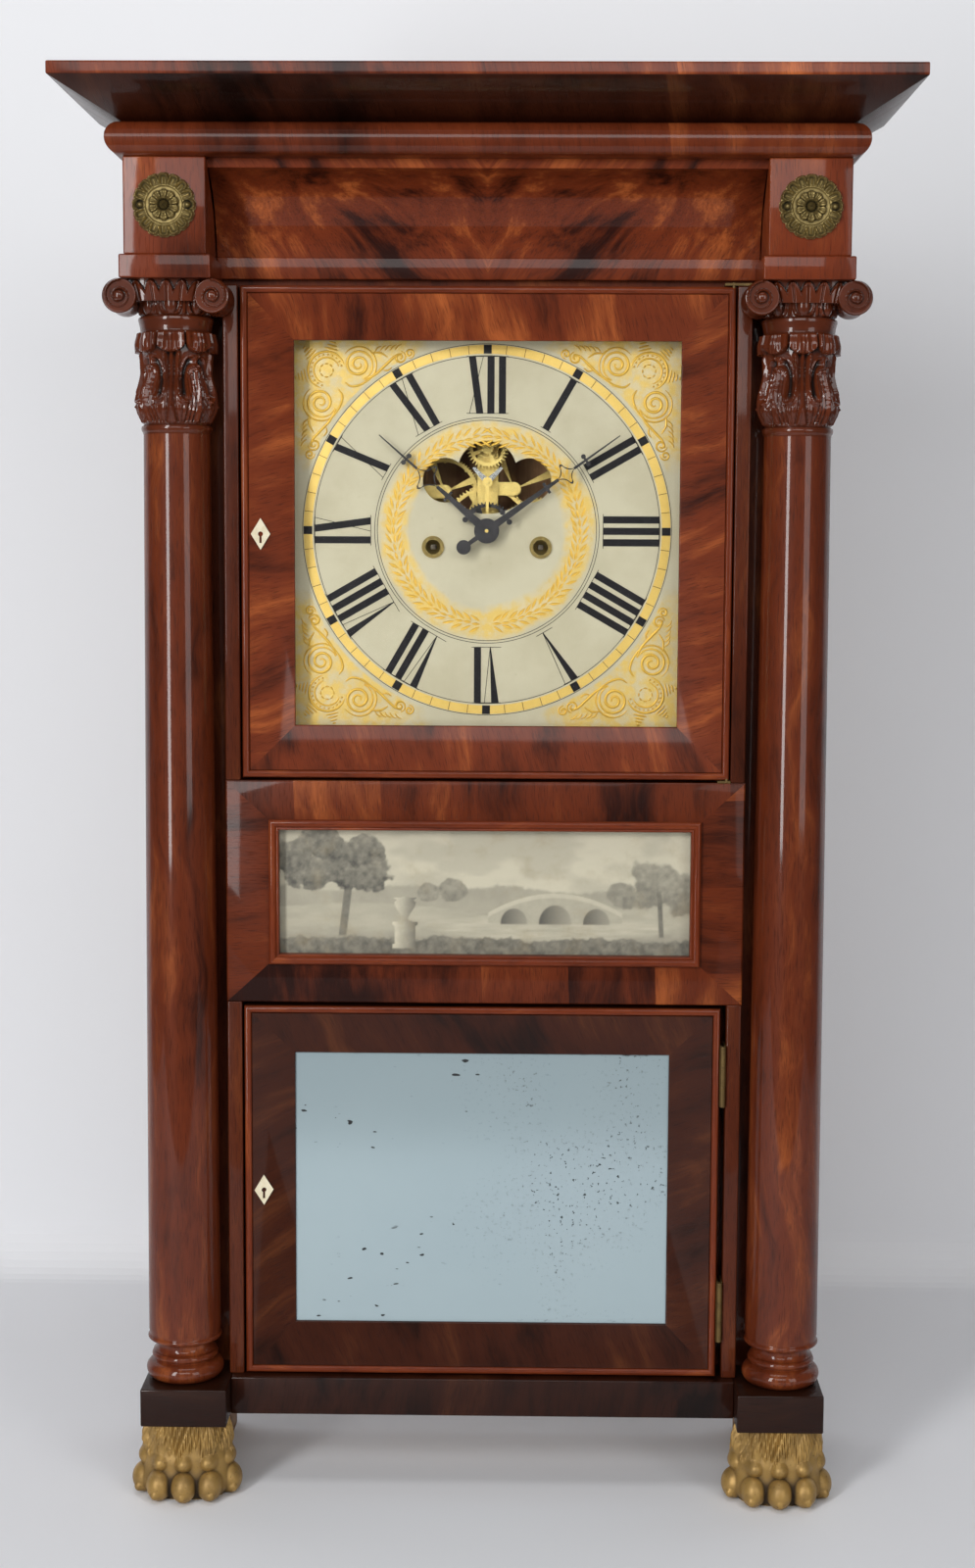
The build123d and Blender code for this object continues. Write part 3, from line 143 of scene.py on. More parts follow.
def piece(name, patches, material, body, stands_for=()):
    """Joins grids into one mesh object that rides on a body and stands for solid nodes."""
    counts = np.cumsum([0] + [len(p[0]) for p in patches])
    points = np.concatenate([p[0] for p in patches])
    faces = np.concatenate([p[1] + start for p, start in zip(patches, counts)])
    uv = np.concatenate([p[2] for p in patches])
    relief = np.concatenate([p[3] for p in patches])
    mesh = bpy.data.meshes.new(name)
    mesh.vertices.add(len(points))
    mesh.vertices.foreach_set("co", points.astype(np.float32).ravel())
    mesh.loops.add(faces.size)
    mesh.loops.foreach_set("vertex_index", faces.astype(np.int32).ravel())
    mesh.polygons.add(len(faces))
    mesh.polygons.foreach_set("loop_start", np.arange(0, faces.size, 4, dtype=np.int32))
    mesh.update(calc_edges=True)
    mesh.uv_layers.new(name="UVMap").data.foreach_set("uv", uv[faces.ravel()].astype(np.float32).ravel())
    depth = mesh.attributes.new("relief", "FLOAT", "POINT")
    depth.data.foreach_set("value", relief.astype(np.float32))
    tidy = bmesh.new()
    tidy.from_mesh(mesh)
    bmesh.ops.remove_doubles(tidy, verts=tidy.verts, dist=MERGE)
    bmesh.ops.dissolve_degenerate(tidy, edges=tidy.edges, dist=MERGE / 4)
    bmesh.ops.recalc_face_normals(tidy, faces=tidy.faces)
    tidy.to_mesh(mesh)
    tidy.free()
    mesh.polygons.foreach_set("use_smooth", np.ones(len(mesh.polygons), bool))
    mesh.set_sharp_from_angle(angle=SHARP)
    mesh.materials.append(material)
    made = bpy.data.objects.new(name, mesh)
    bpy.context.scene.collection.objects.link(made)
    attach(made, body)
    if stands_for:
        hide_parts(*stands_for)
    print(name, len(mesh.polygons), "faces on", body)
    return made


# %% [markdown]
# Words for building node trees
# Materials are trees of nodes. Writing each link out in full makes long lessons, so a few short words do it.
# They add a node with its settings and feed its inputs, say where a point lies, mix two colours, do a sum,
# fade between two values and make noise. Two more make a named group with sockets and use it.

# %% Node helpers
def feed(node, inputs):
    """Fills a node's inputs, each with a plain value or with another node's output socket."""
    for key, value in inputs.items():
        if isinstance(value, bpy.types.NodeSocket):
            node.id_data.links.new(value, node.inputs[key])
        else:
            node.inputs[key].default_value = value


def add(tree, kind, inputs=None, **settings):
    """One node with its settings, and its inputs fed."""
    made = tree.nodes.new(kind)
    for key, value in settings.items():
        setattr(made, key, value)
    feed(made, inputs or {})
    return made


def where_in(tree, kind="Object"):
    """Where a point of the surface lies: in the object's own metres, or on its map."""
    return add(tree, "ShaderNodeTexCoord").outputs[kind]


def axes_of(tree, vector):
    """The three parts of a vector."""
    return add(tree, "ShaderNodeSeparateXYZ", {0: vector}).outputs


def mixed(tree, share, first, second, blend="MIX"):
    """A blend of two colours by a share from 0 to 1."""
    node = add(tree, "ShaderNodeMix", {0: share, 6: first, 7: second}, data_type="RGBA", blend_type=blend)
    return node.outputs[2]


def sums(tree, operation, first, second=0.0, third=None):
    """A Math node's result."""
    values = {0: first, 1: second}
    if third is not None:
        values[2] = third
    return add(tree, "ShaderNodeMath", values, operation=operation).outputs[0]


def distance(tree, side, rise):
    """The root of side^2 + rise^2."""
    square = sums(tree, "ADD", sums(tree, "MULTIPLY", side, side), sums(tree, "MULTIPLY", rise, rise))
    return sums(tree, "SQRT", square)


def fade(tree, value, low, high, start=0.0, end=1.0):
    """A smooth step: start below low, end above high."""
    node = add(tree, "ShaderNodeMapRange", {0: value, 1: low, 2: high, 3: start, 4: end},
               interpolation_type="SMOOTHSTEP")
    return node.outputs[0]


def noise(tree, vector, stretch, detail=3.0, roughness=0.55):
    """Noise on a vector stretched along each axis, from 0 to 1."""
    moved = add(tree, "ShaderNodeVectorMath", {0: vector, 1: stretch}, operation="MULTIPLY").outputs[0]
    node = add(tree, "ShaderNodeTexNoise", {"Vector": moved, "Scale": 1.0, "Detail": detail,
                                            "Roughness": roughness})
    return node.outputs[0]


def new_group(name, sockets_in, sockets_out):
    """An empty shader group with named sockets."""
    group = bpy.data.node_groups.new(name, "ShaderNodeTree")
    for label, kind, default in sockets_in:
        group.interface.new_socket(label, in_out="INPUT", socket_type=kind).default_value = default
    for label, kind in sockets_out:
        group.interface.new_socket(label, in_out="OUTPUT", socket_type=kind)
    return group, group.nodes.new("NodeGroupInput").outputs, group.nodes.new("NodeGroupOutput").inputs


def use_group(tree, group, inputs):
    """One use of a group with its inputs given. Its outputs are found by name."""
    return add(tree, "ShaderNodeGroup", inputs, node_tree=group).outputs


FLOAT, COLOR, VECTOR = "NodeSocketFloat", "NodeSocketColor", "NodeSocketVector"


def blank(name):
    """A material with one Principled shader, ready for its colours."""
    material = bpy.data.materials.new(name)
    material.use_nodes = True
    return material, material.node_tree, material.node_tree.nodes["Principled BSDF"]


def bumped(tree, shader, height, distance):
    """Puts a height, in metres at full strength, on a shader's normal."""
    bump = add(tree, "ShaderNodeBump", {"Height": height, "Distance": distance, "Strength": 1.0})
    feed(shader, {"Normal": bump.outputs[0]})


def srgb(red, green, blue):
    """A colour as seen on a screen, 0 to 255, in the linear values that shaders use."""
    seen = np.array([red, green, blue]) / 255.0
    linear = np.where(seen <= 0.04045, seen / 12.92, ((seen + 0.055) / 1.055) ** 2.4)
    return (*linear.tolist(), 1.0)


# %% [markdown]
# Mahogany figure
# Period case makers bought mahogany cut where a branch leaves the trunk. Its grain sweeps like flames, from
# nearly black to orange. A photograph of veneer would repeat, so the figure is grown from noise instead:
# long stripes along the grain, slower flames across it, short dark pores, and a step of tone from one leaf of
# veneer to the next. The first axis of the vector is the way that the grain runs, in units of 100 mm.

# %% The mahogany figure group
figure, fin, fout = new_group(
    "mahogany_figure",
    [("Vector", VECTOR, (0, 0, 0)), ("Dark", COLOR, srgb(46, 18, 12)), ("Middle", COLOR, srgb(104, 42, 22)),
     ("Light", COLOR, srgb(158, 82, 42)), ("Stripe", FLOAT, 0.5), ("Flame", FLOAT, 0.4),
     ("Leaf", FLOAT, 0.0)],
    [("Color", COLOR), ("Roughness", FLOAT), ("Height", FLOAT)])
g = figure
drift = add(g, "ShaderNodeTexNoise", {"Vector": fin["Vector"], "Scale": 1.1, "Detail": 2.0}).outputs[1]
drift = add(g, "ShaderNodeVectorMath", {0: drift, 1: (0.5, 0.5, 0.5)}, operation="SUBTRACT").outputs[0]
drift = add(g, "ShaderNodeVectorMath", {0: drift, 1: (0.2, 0.42, 0.42)}, operation="MULTIPLY").outputs[0]
swept = add(g, "ShaderNodeVectorMath", {0: fin["Vector"], 1: drift}, operation="ADD").outputs[0]
stripe = noise(g, swept, (0.45, 5.0, 5.0), 6.0, 0.66)
flame = noise(g, swept, (0.9, 1.5, 1.5), 3.0, 0.5)
pore = noise(g, fin["Vector"], (9.0, 150.0, 150.0), 1.0, 0.5)
along = axes_of(g, fin["Vector"])
leaf_at = sums(g, "FLOOR", sums(g, "MULTIPLY", along[1], 1.7))
leaf_tone = add(g, "ShaderNodeTexWhiteNoise", {"W": leaf_at}, noise_dimensions="1D").outputs[0]
leaf_tone = sums(g, "MULTIPLY", sums(g, "SUBTRACT", leaf_tone, 0.5), fin["Leaf"])
tone = sums(g, "MULTIPLY_ADD", sums(g, "SUBTRACT", stripe, 0.5), sums(g, "MULTIPLY", fin["Stripe"], 2.4), 0.5)
tone = sums(g, "MULTIPLY_ADD", sums(g, "SUBTRACT", flame, 0.5), sums(g, "MULTIPLY", fin["Flame"], 2.4), tone)
tone = sums(g, "ADD", tone, leaf_tone)
shade = mixed(g, fade(g, tone, 0.1, 0.52), fin["Dark"], fin["Middle"])
shade = mixed(g, fade(g, tone, 0.5, 0.98), shade, fin["Light"])
dark_pore = fade(g, pore, 0.56, 0.7)
shade = mixed(g, sums(g, "MULTIPLY", dark_pore, 0.4), shade, fin["Dark"])
g.links.new(shade, fout["Color"])
g.links.new(sums(g, "MULTIPLY_ADD", stripe, 0.2, 0.3), fout["Roughness"])
g.links.new(sums(g, "MULTIPLY_ADD", dark_pore, -0.6, sums(g, "MULTIPLY", stripe, 0.4)), fout["Height"])
print("mahogany figure has", len(g.nodes), "nodes")

# %% [markdown]
# Polished mahogany for each member
# Grain runs along posts and columns, up the blocks, and mostly across the veneered frames, where leaves are
# laid side by side and mitred at the corners. One function makes all of these: it reads either the map of a
# frame's members or the object's own coordinates, turns them so that the grain lies right, and adds the thin
# shellac polish as a clear coat.

# %% Mahogany finishes
POLISH = {"Coat Roughness": 0.06, "Coat IOR": 1.5, "Specular IOR Level": 0.08}
MAHOGANY = {"Dark": (36, 12, 6), "Middle": (98, 41, 19), "Light": (162, 86, 42)}
PORE_DEPTH = 0.00012
QUARTER = math.pi / 2


def mahogany(name, by_map, turn, stripe, flame, leaf=0.0, tone=1.0, book=False, coat=0.3):
    """Polished mahogany. turn lays the grain, tone darkens or lightens it as painted light and shade, book
    mirrors it about the middle, and coat is how much shellac lies on it."""
    material, tree, shader = blank(name)
    source = where_in(tree, "UV" if by_map else "Object")
    if book:
        axes = axes_of(tree, source)
        folded = {0: sums(tree, "ABSOLUTE", axes[0]), 1: axes[1], 2: axes[2]}
        source = add(tree, "ShaderNodeCombineXYZ", folded).outputs[0]
    size = 1.0 if by_map else 10.0
    laid = add(tree, "ShaderNodeMapping", {"Vector": source, "Rotation": turn, "Scale": (size, size, size)})
    shades = {}
    for label, colour in MAHOGANY.items():
        shades[label] = srgb(*[min(255, part * tone) for part in colour])
    found = use_group(tree, figure, {"Vector": laid.outputs[0], "Stripe": stripe, "Flame": flame,
                                     "Leaf": leaf, **shades})
    bumped(tree, shader, found["Height"], PORE_DEPTH)
    feed(shader, {"Base Color": found["Color"], "Roughness": found["Roughness"], "Coat Weight": coat,
                  **POLISH})
    return material


UPRIGHT = (0.0, QUARTER, 0.0)
ALONG_X = (0.0, 0.0, 0.0)
# The tones are painted light and shade. The lower door, the rail, the plinths, the posts and the cornice
# slope, which faces down, are darkened where less light falls. The frame, the blocks, the fascia and the
# frieze are lightened where it is bright.
veneer_frame = mahogany("mahogany_veneer_frame", True, (0, 0, math.radians(74)), 0.5, 0.5, 0.0, 1.08)
veneer_lower = mahogany("mahogany_veneer_lower_door", True, (0, 0, math.radians(66)), 0.45, 0.5, 0.0, 0.58)
veneer_panel = mahogany("mahogany_veneer_panel", True, (0, 0, math.radians(88)), 0.4, 0.5, 0.5, 0.98,
                        coat=0.14)
veneer_cornice = mahogany("mahogany_cornice", True, (0, 0, math.radians(80)), 0.4, 0.5, 0.25, 0.56)
bead_roll = mahogany("mahogany_roll", True, (0, 0, math.radians(84)), 0.3, 0.4, 0.2, 1.02, coat=0.5)
bead_wood = mahogany("mahogany_bead", True, (0, 0, 0), 0.35, 0.2, 0.0, 1.1)
frieze_wood = mahogany("mahogany_crotch_frieze", False, (0, math.radians(56), 0), 0.8, 0.45, 0.0, 1.12, True)
column_wood = mahogany("mahogany_column", False, UPRIGHT, 0.55, 0.2, 0.0, 0.96, coat=0.5)
fascia_wood = mahogany("mahogany_fascia", True, (0, 0, math.radians(80)), 0.5, 0.5, 0.3, 1.12)
block_wood = mahogany("mahogany_block", False, UPRIGHT, 0.3, 0.35, 0.0, 1.14)
rail_wood = mahogany("mahogany_rail", False, (0, math.radians(82), 0), 0.5, 0.5, 0.3, 0.46)
plinth_wood = mahogany("mahogany_plinth", False, ALONG_X, 0.3, 0.3, 0.0, 0.36)
side_wood = mahogany("mahogany_side", False, UPRIGHT, 0.5, 0.3, 0.0, 0.9)
post_wood = mahogany("mahogany_post", False, UPRIGHT, 0.35, 0.4, 0.0, 0.8)
print("mahogany finishes made")

# %% [markdown]
# Age on metal, gilding and bone
# Old brass is never one colour: it is bright where hands rub it and brown in its hollows. Gilding wears
# through on the high places and keeps dirt in the low ones. One group gives that pattern to every old finish:
# a cloudy stain, fine grime, and the depth of the carving, which the surfaces carry with them. The low places
# of the carving take the grime colour, as dirt and also as painted shade where shade falls in them.

# %% The old age group
age, gin, gout = new_group(
    "old_age",
    [("Vector", VECTOR, (0, 0, 0)), ("Bright", COLOR, srgb(200, 170, 90)),
     ("Dull", COLOR, srgb(140, 112, 58)), ("Grime_and_shade", COLOR, srgb(44, 32, 18)), ("Depth", FLOAT, 1.0),
     ("Stain", FLOAT, 0.5), ("Size", FLOAT, 60.0), ("Smooth", FLOAT, 0.25)],
    [("Color", COLOR), ("Roughness", FLOAT), ("Height", FLOAT)])
g = age
scaled = add(g, "ShaderNodeVectorMath", {0: gin["Vector"], "Scale": gin["Size"]},
             operation="SCALE").outputs[0]
cloud = noise(g, scaled, (1, 1, 1), 4.0, 0.6)
speck = noise(g, scaled, (9, 9, 9), 2.0, 0.6)
stained = sums(g, "MULTIPLY", fade(g, cloud, 0.36, 0.68), gin["Stain"])
shade = mixed(g, stained, gin["Bright"], gin["Dull"])
# Low places of the carving take the grime colour: dirt gathered there, and painted shade.
hollow = fade(g, sums(g, "ADD", gin["Depth"], sums(g, "MULTIPLY", sums(g, "SUBTRACT", cloud, 0.5), 0.3)),
              0.08, 0.62, 1.0, 0.0)
grime_and_shade_share = sums(g, "MAXIMUM", hollow, sums(g, "MULTIPLY", fade(g, speck, 0.62, 0.76), gin["Stain"]))
shade = mixed(g, grime_and_shade_share, shade, gin["Grime_and_shade"])
g.links.new(shade, gout["Color"])
rough = sums(g, "MULTIPLY_ADD", grime_and_shade_share, 0.35, sums(g, "MULTIPLY_ADD", cloud, 0.22, gin["Smooth"]))
g.links.new(rough, gout["Roughness"])
g.links.new(sums(g, "MULTIPLY_ADD", speck, 0.5, cloud), gout["Height"])
print("old age has", len(g.nodes), "nodes")


def aged(name, bright, dull, grime_and_shade, metal, stain, size, smooth, carved=False, dent=0.00008):
    """An old finish: three tones, how metallic, how stained, how fine the stain, and how smooth. A carved
    piece brings its depth, darkened in its low places as grime and painted shade; dent is how deep it is
    pitted, in metres."""
    material, tree, shader = blank(name)
    where = where_in(tree)
    values = {"Vector": where, "Bright": srgb(*bright), "Dull": srgb(*dull), "Grime_and_shade": srgb(*grime_and_shade),
              "Stain": stain, "Size": size, "Smooth": smooth}
    if carved:
        values["Depth"] = add(tree, "ShaderNodeAttribute", attribute_name="relief").outputs["Fac"]
    found = use_group(tree, age, values)
    bumped(tree, shader, found["Height"], dent)
    feed(shader, {"Base Color": found["Color"], "Roughness": found["Roughness"], "Metallic": metal})
    return material


# %% [markdown]
# The smaller finishes
# Brass plates and wheels are cleaned and lacquered, so they stay pale. The stamped rosettes are older and
# browner. The hands are blued steel gone nearly black. The feet were gilded over a brown ground. Bone key
# plates are creamy with fine dirt. Carved mahogany is darker than veneer, and nearly black in its cuts, where
# polish gathers and where shade is painted in.

# %% Metal, gilt, bone and iron finishes
brass = aged("brass_clean", (226, 200, 120), (204, 170, 92), (110, 84, 44), 0.55, 0.45, 90, 0.24)
bezel_bronze = aged("bronze_bezel", (124, 106, 58), (88, 74, 40), (34, 28, 16), 0.7, 0.55, 120, 0.3)
rosette_brass = aged("brass_stamped", (146, 128, 80), (98, 84, 50), (30, 24, 14), 0.75, 0.55, 160, 0.3, True)
gilt_foot = aged("gilt_wood_foot", (166, 132, 72), (122, 96, 54), (52, 38, 22), 0.42, 0.65, 75, 0.34, True)
gold_leaf = aged("gold_leaf_raised", (212, 170, 62), (194, 150, 48), (138, 100, 34), 0.28, 0.4, 120, 0.32,
                 True)
gold_flat = aged("gold_leaf_flat", (214, 180, 94), (200, 164, 76), (176, 150, 92), 0.3, 0.5, 90, 0.34)
steel = aged("steel_polished", (190, 190, 188), (150, 148, 144), (70, 66, 60), 0.95, 0.4, 80, 0.16)
dark_steel = aged("steel_blued_hands", (44, 42, 44), (30, 29, 31), (20, 18, 18), 0.6, 0.5, 120, 0.34)
bone = aged("bone_plate", (230, 220, 192), (206, 190, 152), (120, 92, 58), 0.0, 0.5, 180, 0.25)
iron = aged("cast_iron", (62, 58, 54), (44, 40, 38), (70, 42, 28), 0.5, 0.6, 60, 0.5, dent=0.0004)
old_hinge = aged("brass_hinge_old", (112, 90, 52), (78, 60, 34), (34, 24, 14), 0.7, 0.6, 90, 0.34)
# Carved mahogany: the near-black grime colour in the cuts is old polish and painted shade.
carved_wood = aged("mahogany_carved", (92, 40, 19), (60, 25, 12), (14, 6, 4), 0.0, 0.55, 40, 0.18, True)
feed(carved_wood.node_tree.nodes["Principled BSDF"],
     {"Coat Weight": 0.6, "Coat Roughness": 0.06, "Specular IOR Level": 0.12})
black_paint = aged("dial_black", (26, 24, 27), (20, 19, 21), (52, 48, 46), 0.0, 0.4, 160, 0.4)
feed(black_paint.node_tree.nodes["Principled BSDF"], {"Specular IOR Level": 0.12})
print("smaller finishes made")

# %% [markdown]
# Drums of wood on arbors of steel
# A cord drum is a boxwood barrel on a steel arbor, and both are one solid here. The distance from the arbor's
# own line tells the two apart, so one finish can be steel inside that distance and wood outside it. The two
# drums stand as far left as right, so the distance is measured from the side without its sign.

# %% Drum finish
PIVOTS = {joint["name"]: joint.get("pos_m") for joint in frame["joints"]}
DRUM_AXIS = PIVOTS["time_drum_turn"]
ARBOR_EDGE = (0.0029, 0.0031)


def barrel(name):
    """Boxwood beyond the arbor's radius from its line, and dark steel within it."""
    material, tree, shader = blank(name)
    where = where_in(tree)
    axes = axes_of(tree, where)
    side = sums(tree, "SUBTRACT", sums(tree, "ABSOLUTE", axes[0]), abs(DRUM_AXIS[0]))
    rise = sums(tree, "SUBTRACT", axes[2], DRUM_AXIS[2])
    wooden = fade(tree, distance(tree, side, rise), *ARBOR_EDGE)
    grain = noise(tree, where, (300, 40, 300), 3.0, 0.6)
    wood = mixed(tree, grain, srgb(176, 130, 76), srgb(132, 92, 50))
    metal = mixed(tree, grain, srgb(86, 78, 66), srgb(58, 52, 46))
    feed(shader, {"Base Color": mixed(tree, wooden, metal, wood),
                  "Metallic": sums(tree, "MULTIPLY_ADD", wooden, -0.8, 0.8),
                  "Roughness": sums(tree, "MULTIPLY_ADD", grain, 0.25, 0.28)})
    return material


drum_wood = barrel("drum_boxwood_on_steel")
print("drum axis at", [round(part, 4) for part in DRUM_AXIS])

# %% [markdown]
# Pine, cord and printed card
# The back, the boards at top and bottom and the rear feet are plain pine that nobody was meant to see: pale,
# with long brown growth lines. The weights hang on twisted cotton, whose strands show as slanting bands along
# its map. The card behind the middle glass carries a printed scene whose grey tones are stored on its own
# points.

# %% Pine, cord and card finishes
PINE_PALE, PINE_BROWN = (178, 134, 84), (132, 88, 48)


def pine(name, turn, tone):
    """Bare softwood: growth lines are stretched noise, with a dull, open surface."""
    material, tree, shader = blank(name)
    where = where_in(tree)
    laid = add(tree, "ShaderNodeMapping",
               {"Vector": where, "Rotation": turn, "Scale": (10, 10, 10)}).outputs[0]
    growth = noise(tree, laid, (0.35, 7.0, 7.0), 4.0, 0.6)
    fibre = noise(tree, laid, (4.0, 90.0, 90.0), 2.0, 0.6)
    dirt = noise(tree, laid, (1.6, 1.6, 1.6), 4.0, 0.6)
    pale, brown = [srgb(*[part * tone for part in colour]) for colour in (PINE_PALE, PINE_BROWN)]
    shade = mixed(tree, fade(tree, growth, 0.35, 0.65), pale, brown)
    shade = mixed(tree, sums(tree, "MULTIPLY", fade(tree, dirt, 0.5, 0.75), 0.55), shade, srgb(70, 48, 30))
    shade = mixed(tree, sums(tree, "MULTIPLY", fade(tree, fibre, 0.55, 0.7), 0.3), shade, srgb(84, 56, 32))
    feed(shader, {"Base Color": shade, "Roughness": sums(tree, "MULTIPLY_ADD", growth, 0.2, 0.55)})
    bumped(tree, shader, fibre, 0.0003)
    return material


back_pine = pine("pine_backboard", UPRIGHT, 0.9)
board_pine = pine("pine_boards", ALONG_X, 0.8)


def cotton_cord(name):
    """Twisted cotton: bands that slant round the cord, read from its map, light on the strands and darker in
    the grooves between them as painted shade.
    """
    material, tree, shader = blank(name)
    where = where_in(tree, "UV")
    axes = axes_of(tree, where)
    slant = sums(tree, "ADD", sums(tree, "MULTIPLY", axes[0], 34.0), sums(tree, "MULTIPLY", axes[1], 4.0))
    # The band is light on each strand and dark in the grooves, where shade is painted.
    band = sums(tree, "ABSOLUTE", sums(tree, "SINE", sums(tree, "MULTIPLY", slant, math.pi)))
    fuzz = noise(tree, where, (60.0, 30.0, 1.0), 3.0, 0.6)
    shade = mixed(tree, sums(tree, "MULTIPLY", band, sums(tree, "MULTIPLY_ADD", fuzz, 0.5, 0.6)),
                  srgb(92, 72, 46), srgb(186, 162, 120))
    feed(shader, {"Base Color": shade, "Roughness": sums(tree, "MULTIPLY_ADD", fuzz, 0.15, 0.75)})
    bumped(tree, shader, band, 0.0003)
    return material


cord_cotton = cotton_cord("cord_cotton")


def printed_card(name):
    """Printed paper: grey tones from the card's own points, warmed by foxing and fine paper grain."""
    material, tree, shader = blank(name)
    where = where_in(tree)
    ink = add(tree, "ShaderNodeAttribute", attribute_name="relief").outputs["Fac"]
    foxing = noise(tree, where, (55, 55, 55), 4.0, 0.6)
    grain = noise(tree, where, (900, 900, 900), 2.0, 0.6)
    value = sums(tree, "MULTIPLY_ADD", sums(tree, "SUBTRACT", grain, 0.5), 0.1, ink)
    shade = mixed(tree, value, srgb(52, 51, 49), srgb(208, 200, 176))
    shade = mixed(tree, sums(tree, "MULTIPLY", fade(tree, foxing, 0.5, 0.8), 0.35), shade, srgb(150, 132, 96))
    feed(shader, {"Base Color": shade, "Roughness": sums(tree, "MULTIPLY_ADD", grain, 0.2, 0.5)})
    return material


card_print = printed_card("printed_card")
print("pine, cord and card made")

# %% [markdown]
# Glass and old mirror
# Window glass would shut the lamps out of the dial, because light bent through glass is hard to follow. So
# rays on their way to a lamp or off a dull surface pass straight through a plain transparent shader, and only
# the rays that look at the glass see a real one. The mirror is silvering that has gone grey, left mostly
# dull, and its pale blue-grey colour is a painted reflection. It has black flecks where it has flaked off,
# dust-fine specks on the right, and a rotten top edge.

# %% Glass and mirror
def window_glass(name):
    """Clear glass for the eye, and nothing at all for rays to a lamp or off a dull surface."""
    material, tree, shader = blank(name)
    feed(shader, {"Base Color": srgb(250, 252, 250), "Roughness": 0.02, "IOR": 1.25,
                  "Transmission Weight": 1.0})
    where = where_in(tree)
    bumped(tree, shader, noise(tree, where, (14, 14, 14), 2.0, 0.5), 0.00025)
    path = add(tree, "ShaderNodeLightPath").outputs
    passing = sums(tree, "MAXIMUM", path["Is Shadow Ray"], path["Is Diffuse Ray"])
    clear = add(tree, "ShaderNodeBsdfTransparent").outputs[0]
    both = add(tree, "ShaderNodeMixShader", {0: passing, 1: shader.outputs[0], 2: clear}).outputs[0]
    feed(tree.nodes["Material Output"], {"Surface": both})
    return material


def old_mirror(name, left, right, low, high):
    """Silvered glass, only partly metallic: its pale blue-grey is a painted reflection, flaked in spots. The
    sides are the mirror's own, in metres.
    """
    material, tree, shader = blank(name)
    where = where_in(tree)
    axes = axes_of(tree, where)
    across = fade(tree, axes[0], left, right)
    up = add(tree, "ShaderNodeMapRange", {0: axes[2], 1: low, 2: high}).outputs[0]
    fleck = fade(tree, noise(tree, where, (125, 125, 270), 1.0, 0.4), 0.7, 0.72)
    patches = fade(tree, noise(tree, where, (9, 9, 13), 1.0, 0.5), 0.5, 0.56)
    leftward = fade(tree, across, 0.45, 0.7, 1.0, 0.0)
    fleck = sums(tree, "MULTIPLY", fleck, sums(tree, "MULTIPLY", patches, leftward))
    dust = fade(tree, noise(tree, where, (380, 380, 380), 2.0, 0.6), 0.6, 0.68)
    dusty = fade(tree, noise(tree, where, (12, 12, 12), 2.0, 0.5), 0.42, 0.62)
    dust = sums(tree, "MULTIPLY", dust, sums(tree, "MULTIPLY", dusty, fade(tree, across, 0.3, 0.75)))
    ragged = sums(tree, "MULTIPLY_ADD", noise(tree, where, (60, 60, 60), 3.0, 0.6), 0.06, up)
    rot = fade(tree, ragged, 1.005, 1.018)
    lost = sums(tree, "MAXIMUM", sums(tree, "MAXIMUM", fleck, sums(tree, "MULTIPLY", dust, 0.9)), rot)
    cloud = noise(tree, where, (8, 8, 8), 3.0, 0.5)
    # The pale blue-grey silver is a painted reflection on a surface that is only partly metallic.
    silver_and_painted_reflection = mixed(tree, cloud, srgb(162, 180, 186), srgb(172, 188, 192))
    feed(shader, {"Base Color": mixed(tree, lost, silver_and_painted_reflection, srgb(22, 24, 26)),
                  "Roughness": sums(tree, "MULTIPLY_ADD", lost, 0.4, 0.14),
                  "Metallic": sums(tree, "MULTIPLY_ADD", lost, -0.3, 0.32)})
    return material


clear_glass = window_glass("window_glass")
MIRROR = [side * MM for side in span("mirror_plate")]
mirror = old_mirror("old_mirror", MIRROR[0], MIRROR[1], MIRROR[4], MIRROR[5])
print("glass and mirror made")

# %% [markdown]
# The painted dial
# A wooden dial was covered in white ground, painted a warm grey-white, and gilded in the corners and round
# the middle with raised ornament. The leaf spreads past the ornament in soft worn patches. Those patches are
# paint, so they belong in the material: each is a ring or a corner, worked out from the distance to the
# middle, broken up by noise. The raised work and the numerals are real relief and come later.

# %% Dial paint
CENTRE_Z = PIVOTS["minute_hand_turn"][2] / MM
RING_OUT, RING_IN = 124.3, 118.4
WREATH_OUT, WREATH_IN = 70.6, 55.4
WREATH_MID = (WREATH_OUT + WREATH_IN) / 2
WREATH_RAGGED, CORNER_RAGGED = 16.0, 46.0
PER_METRE = 1000.0


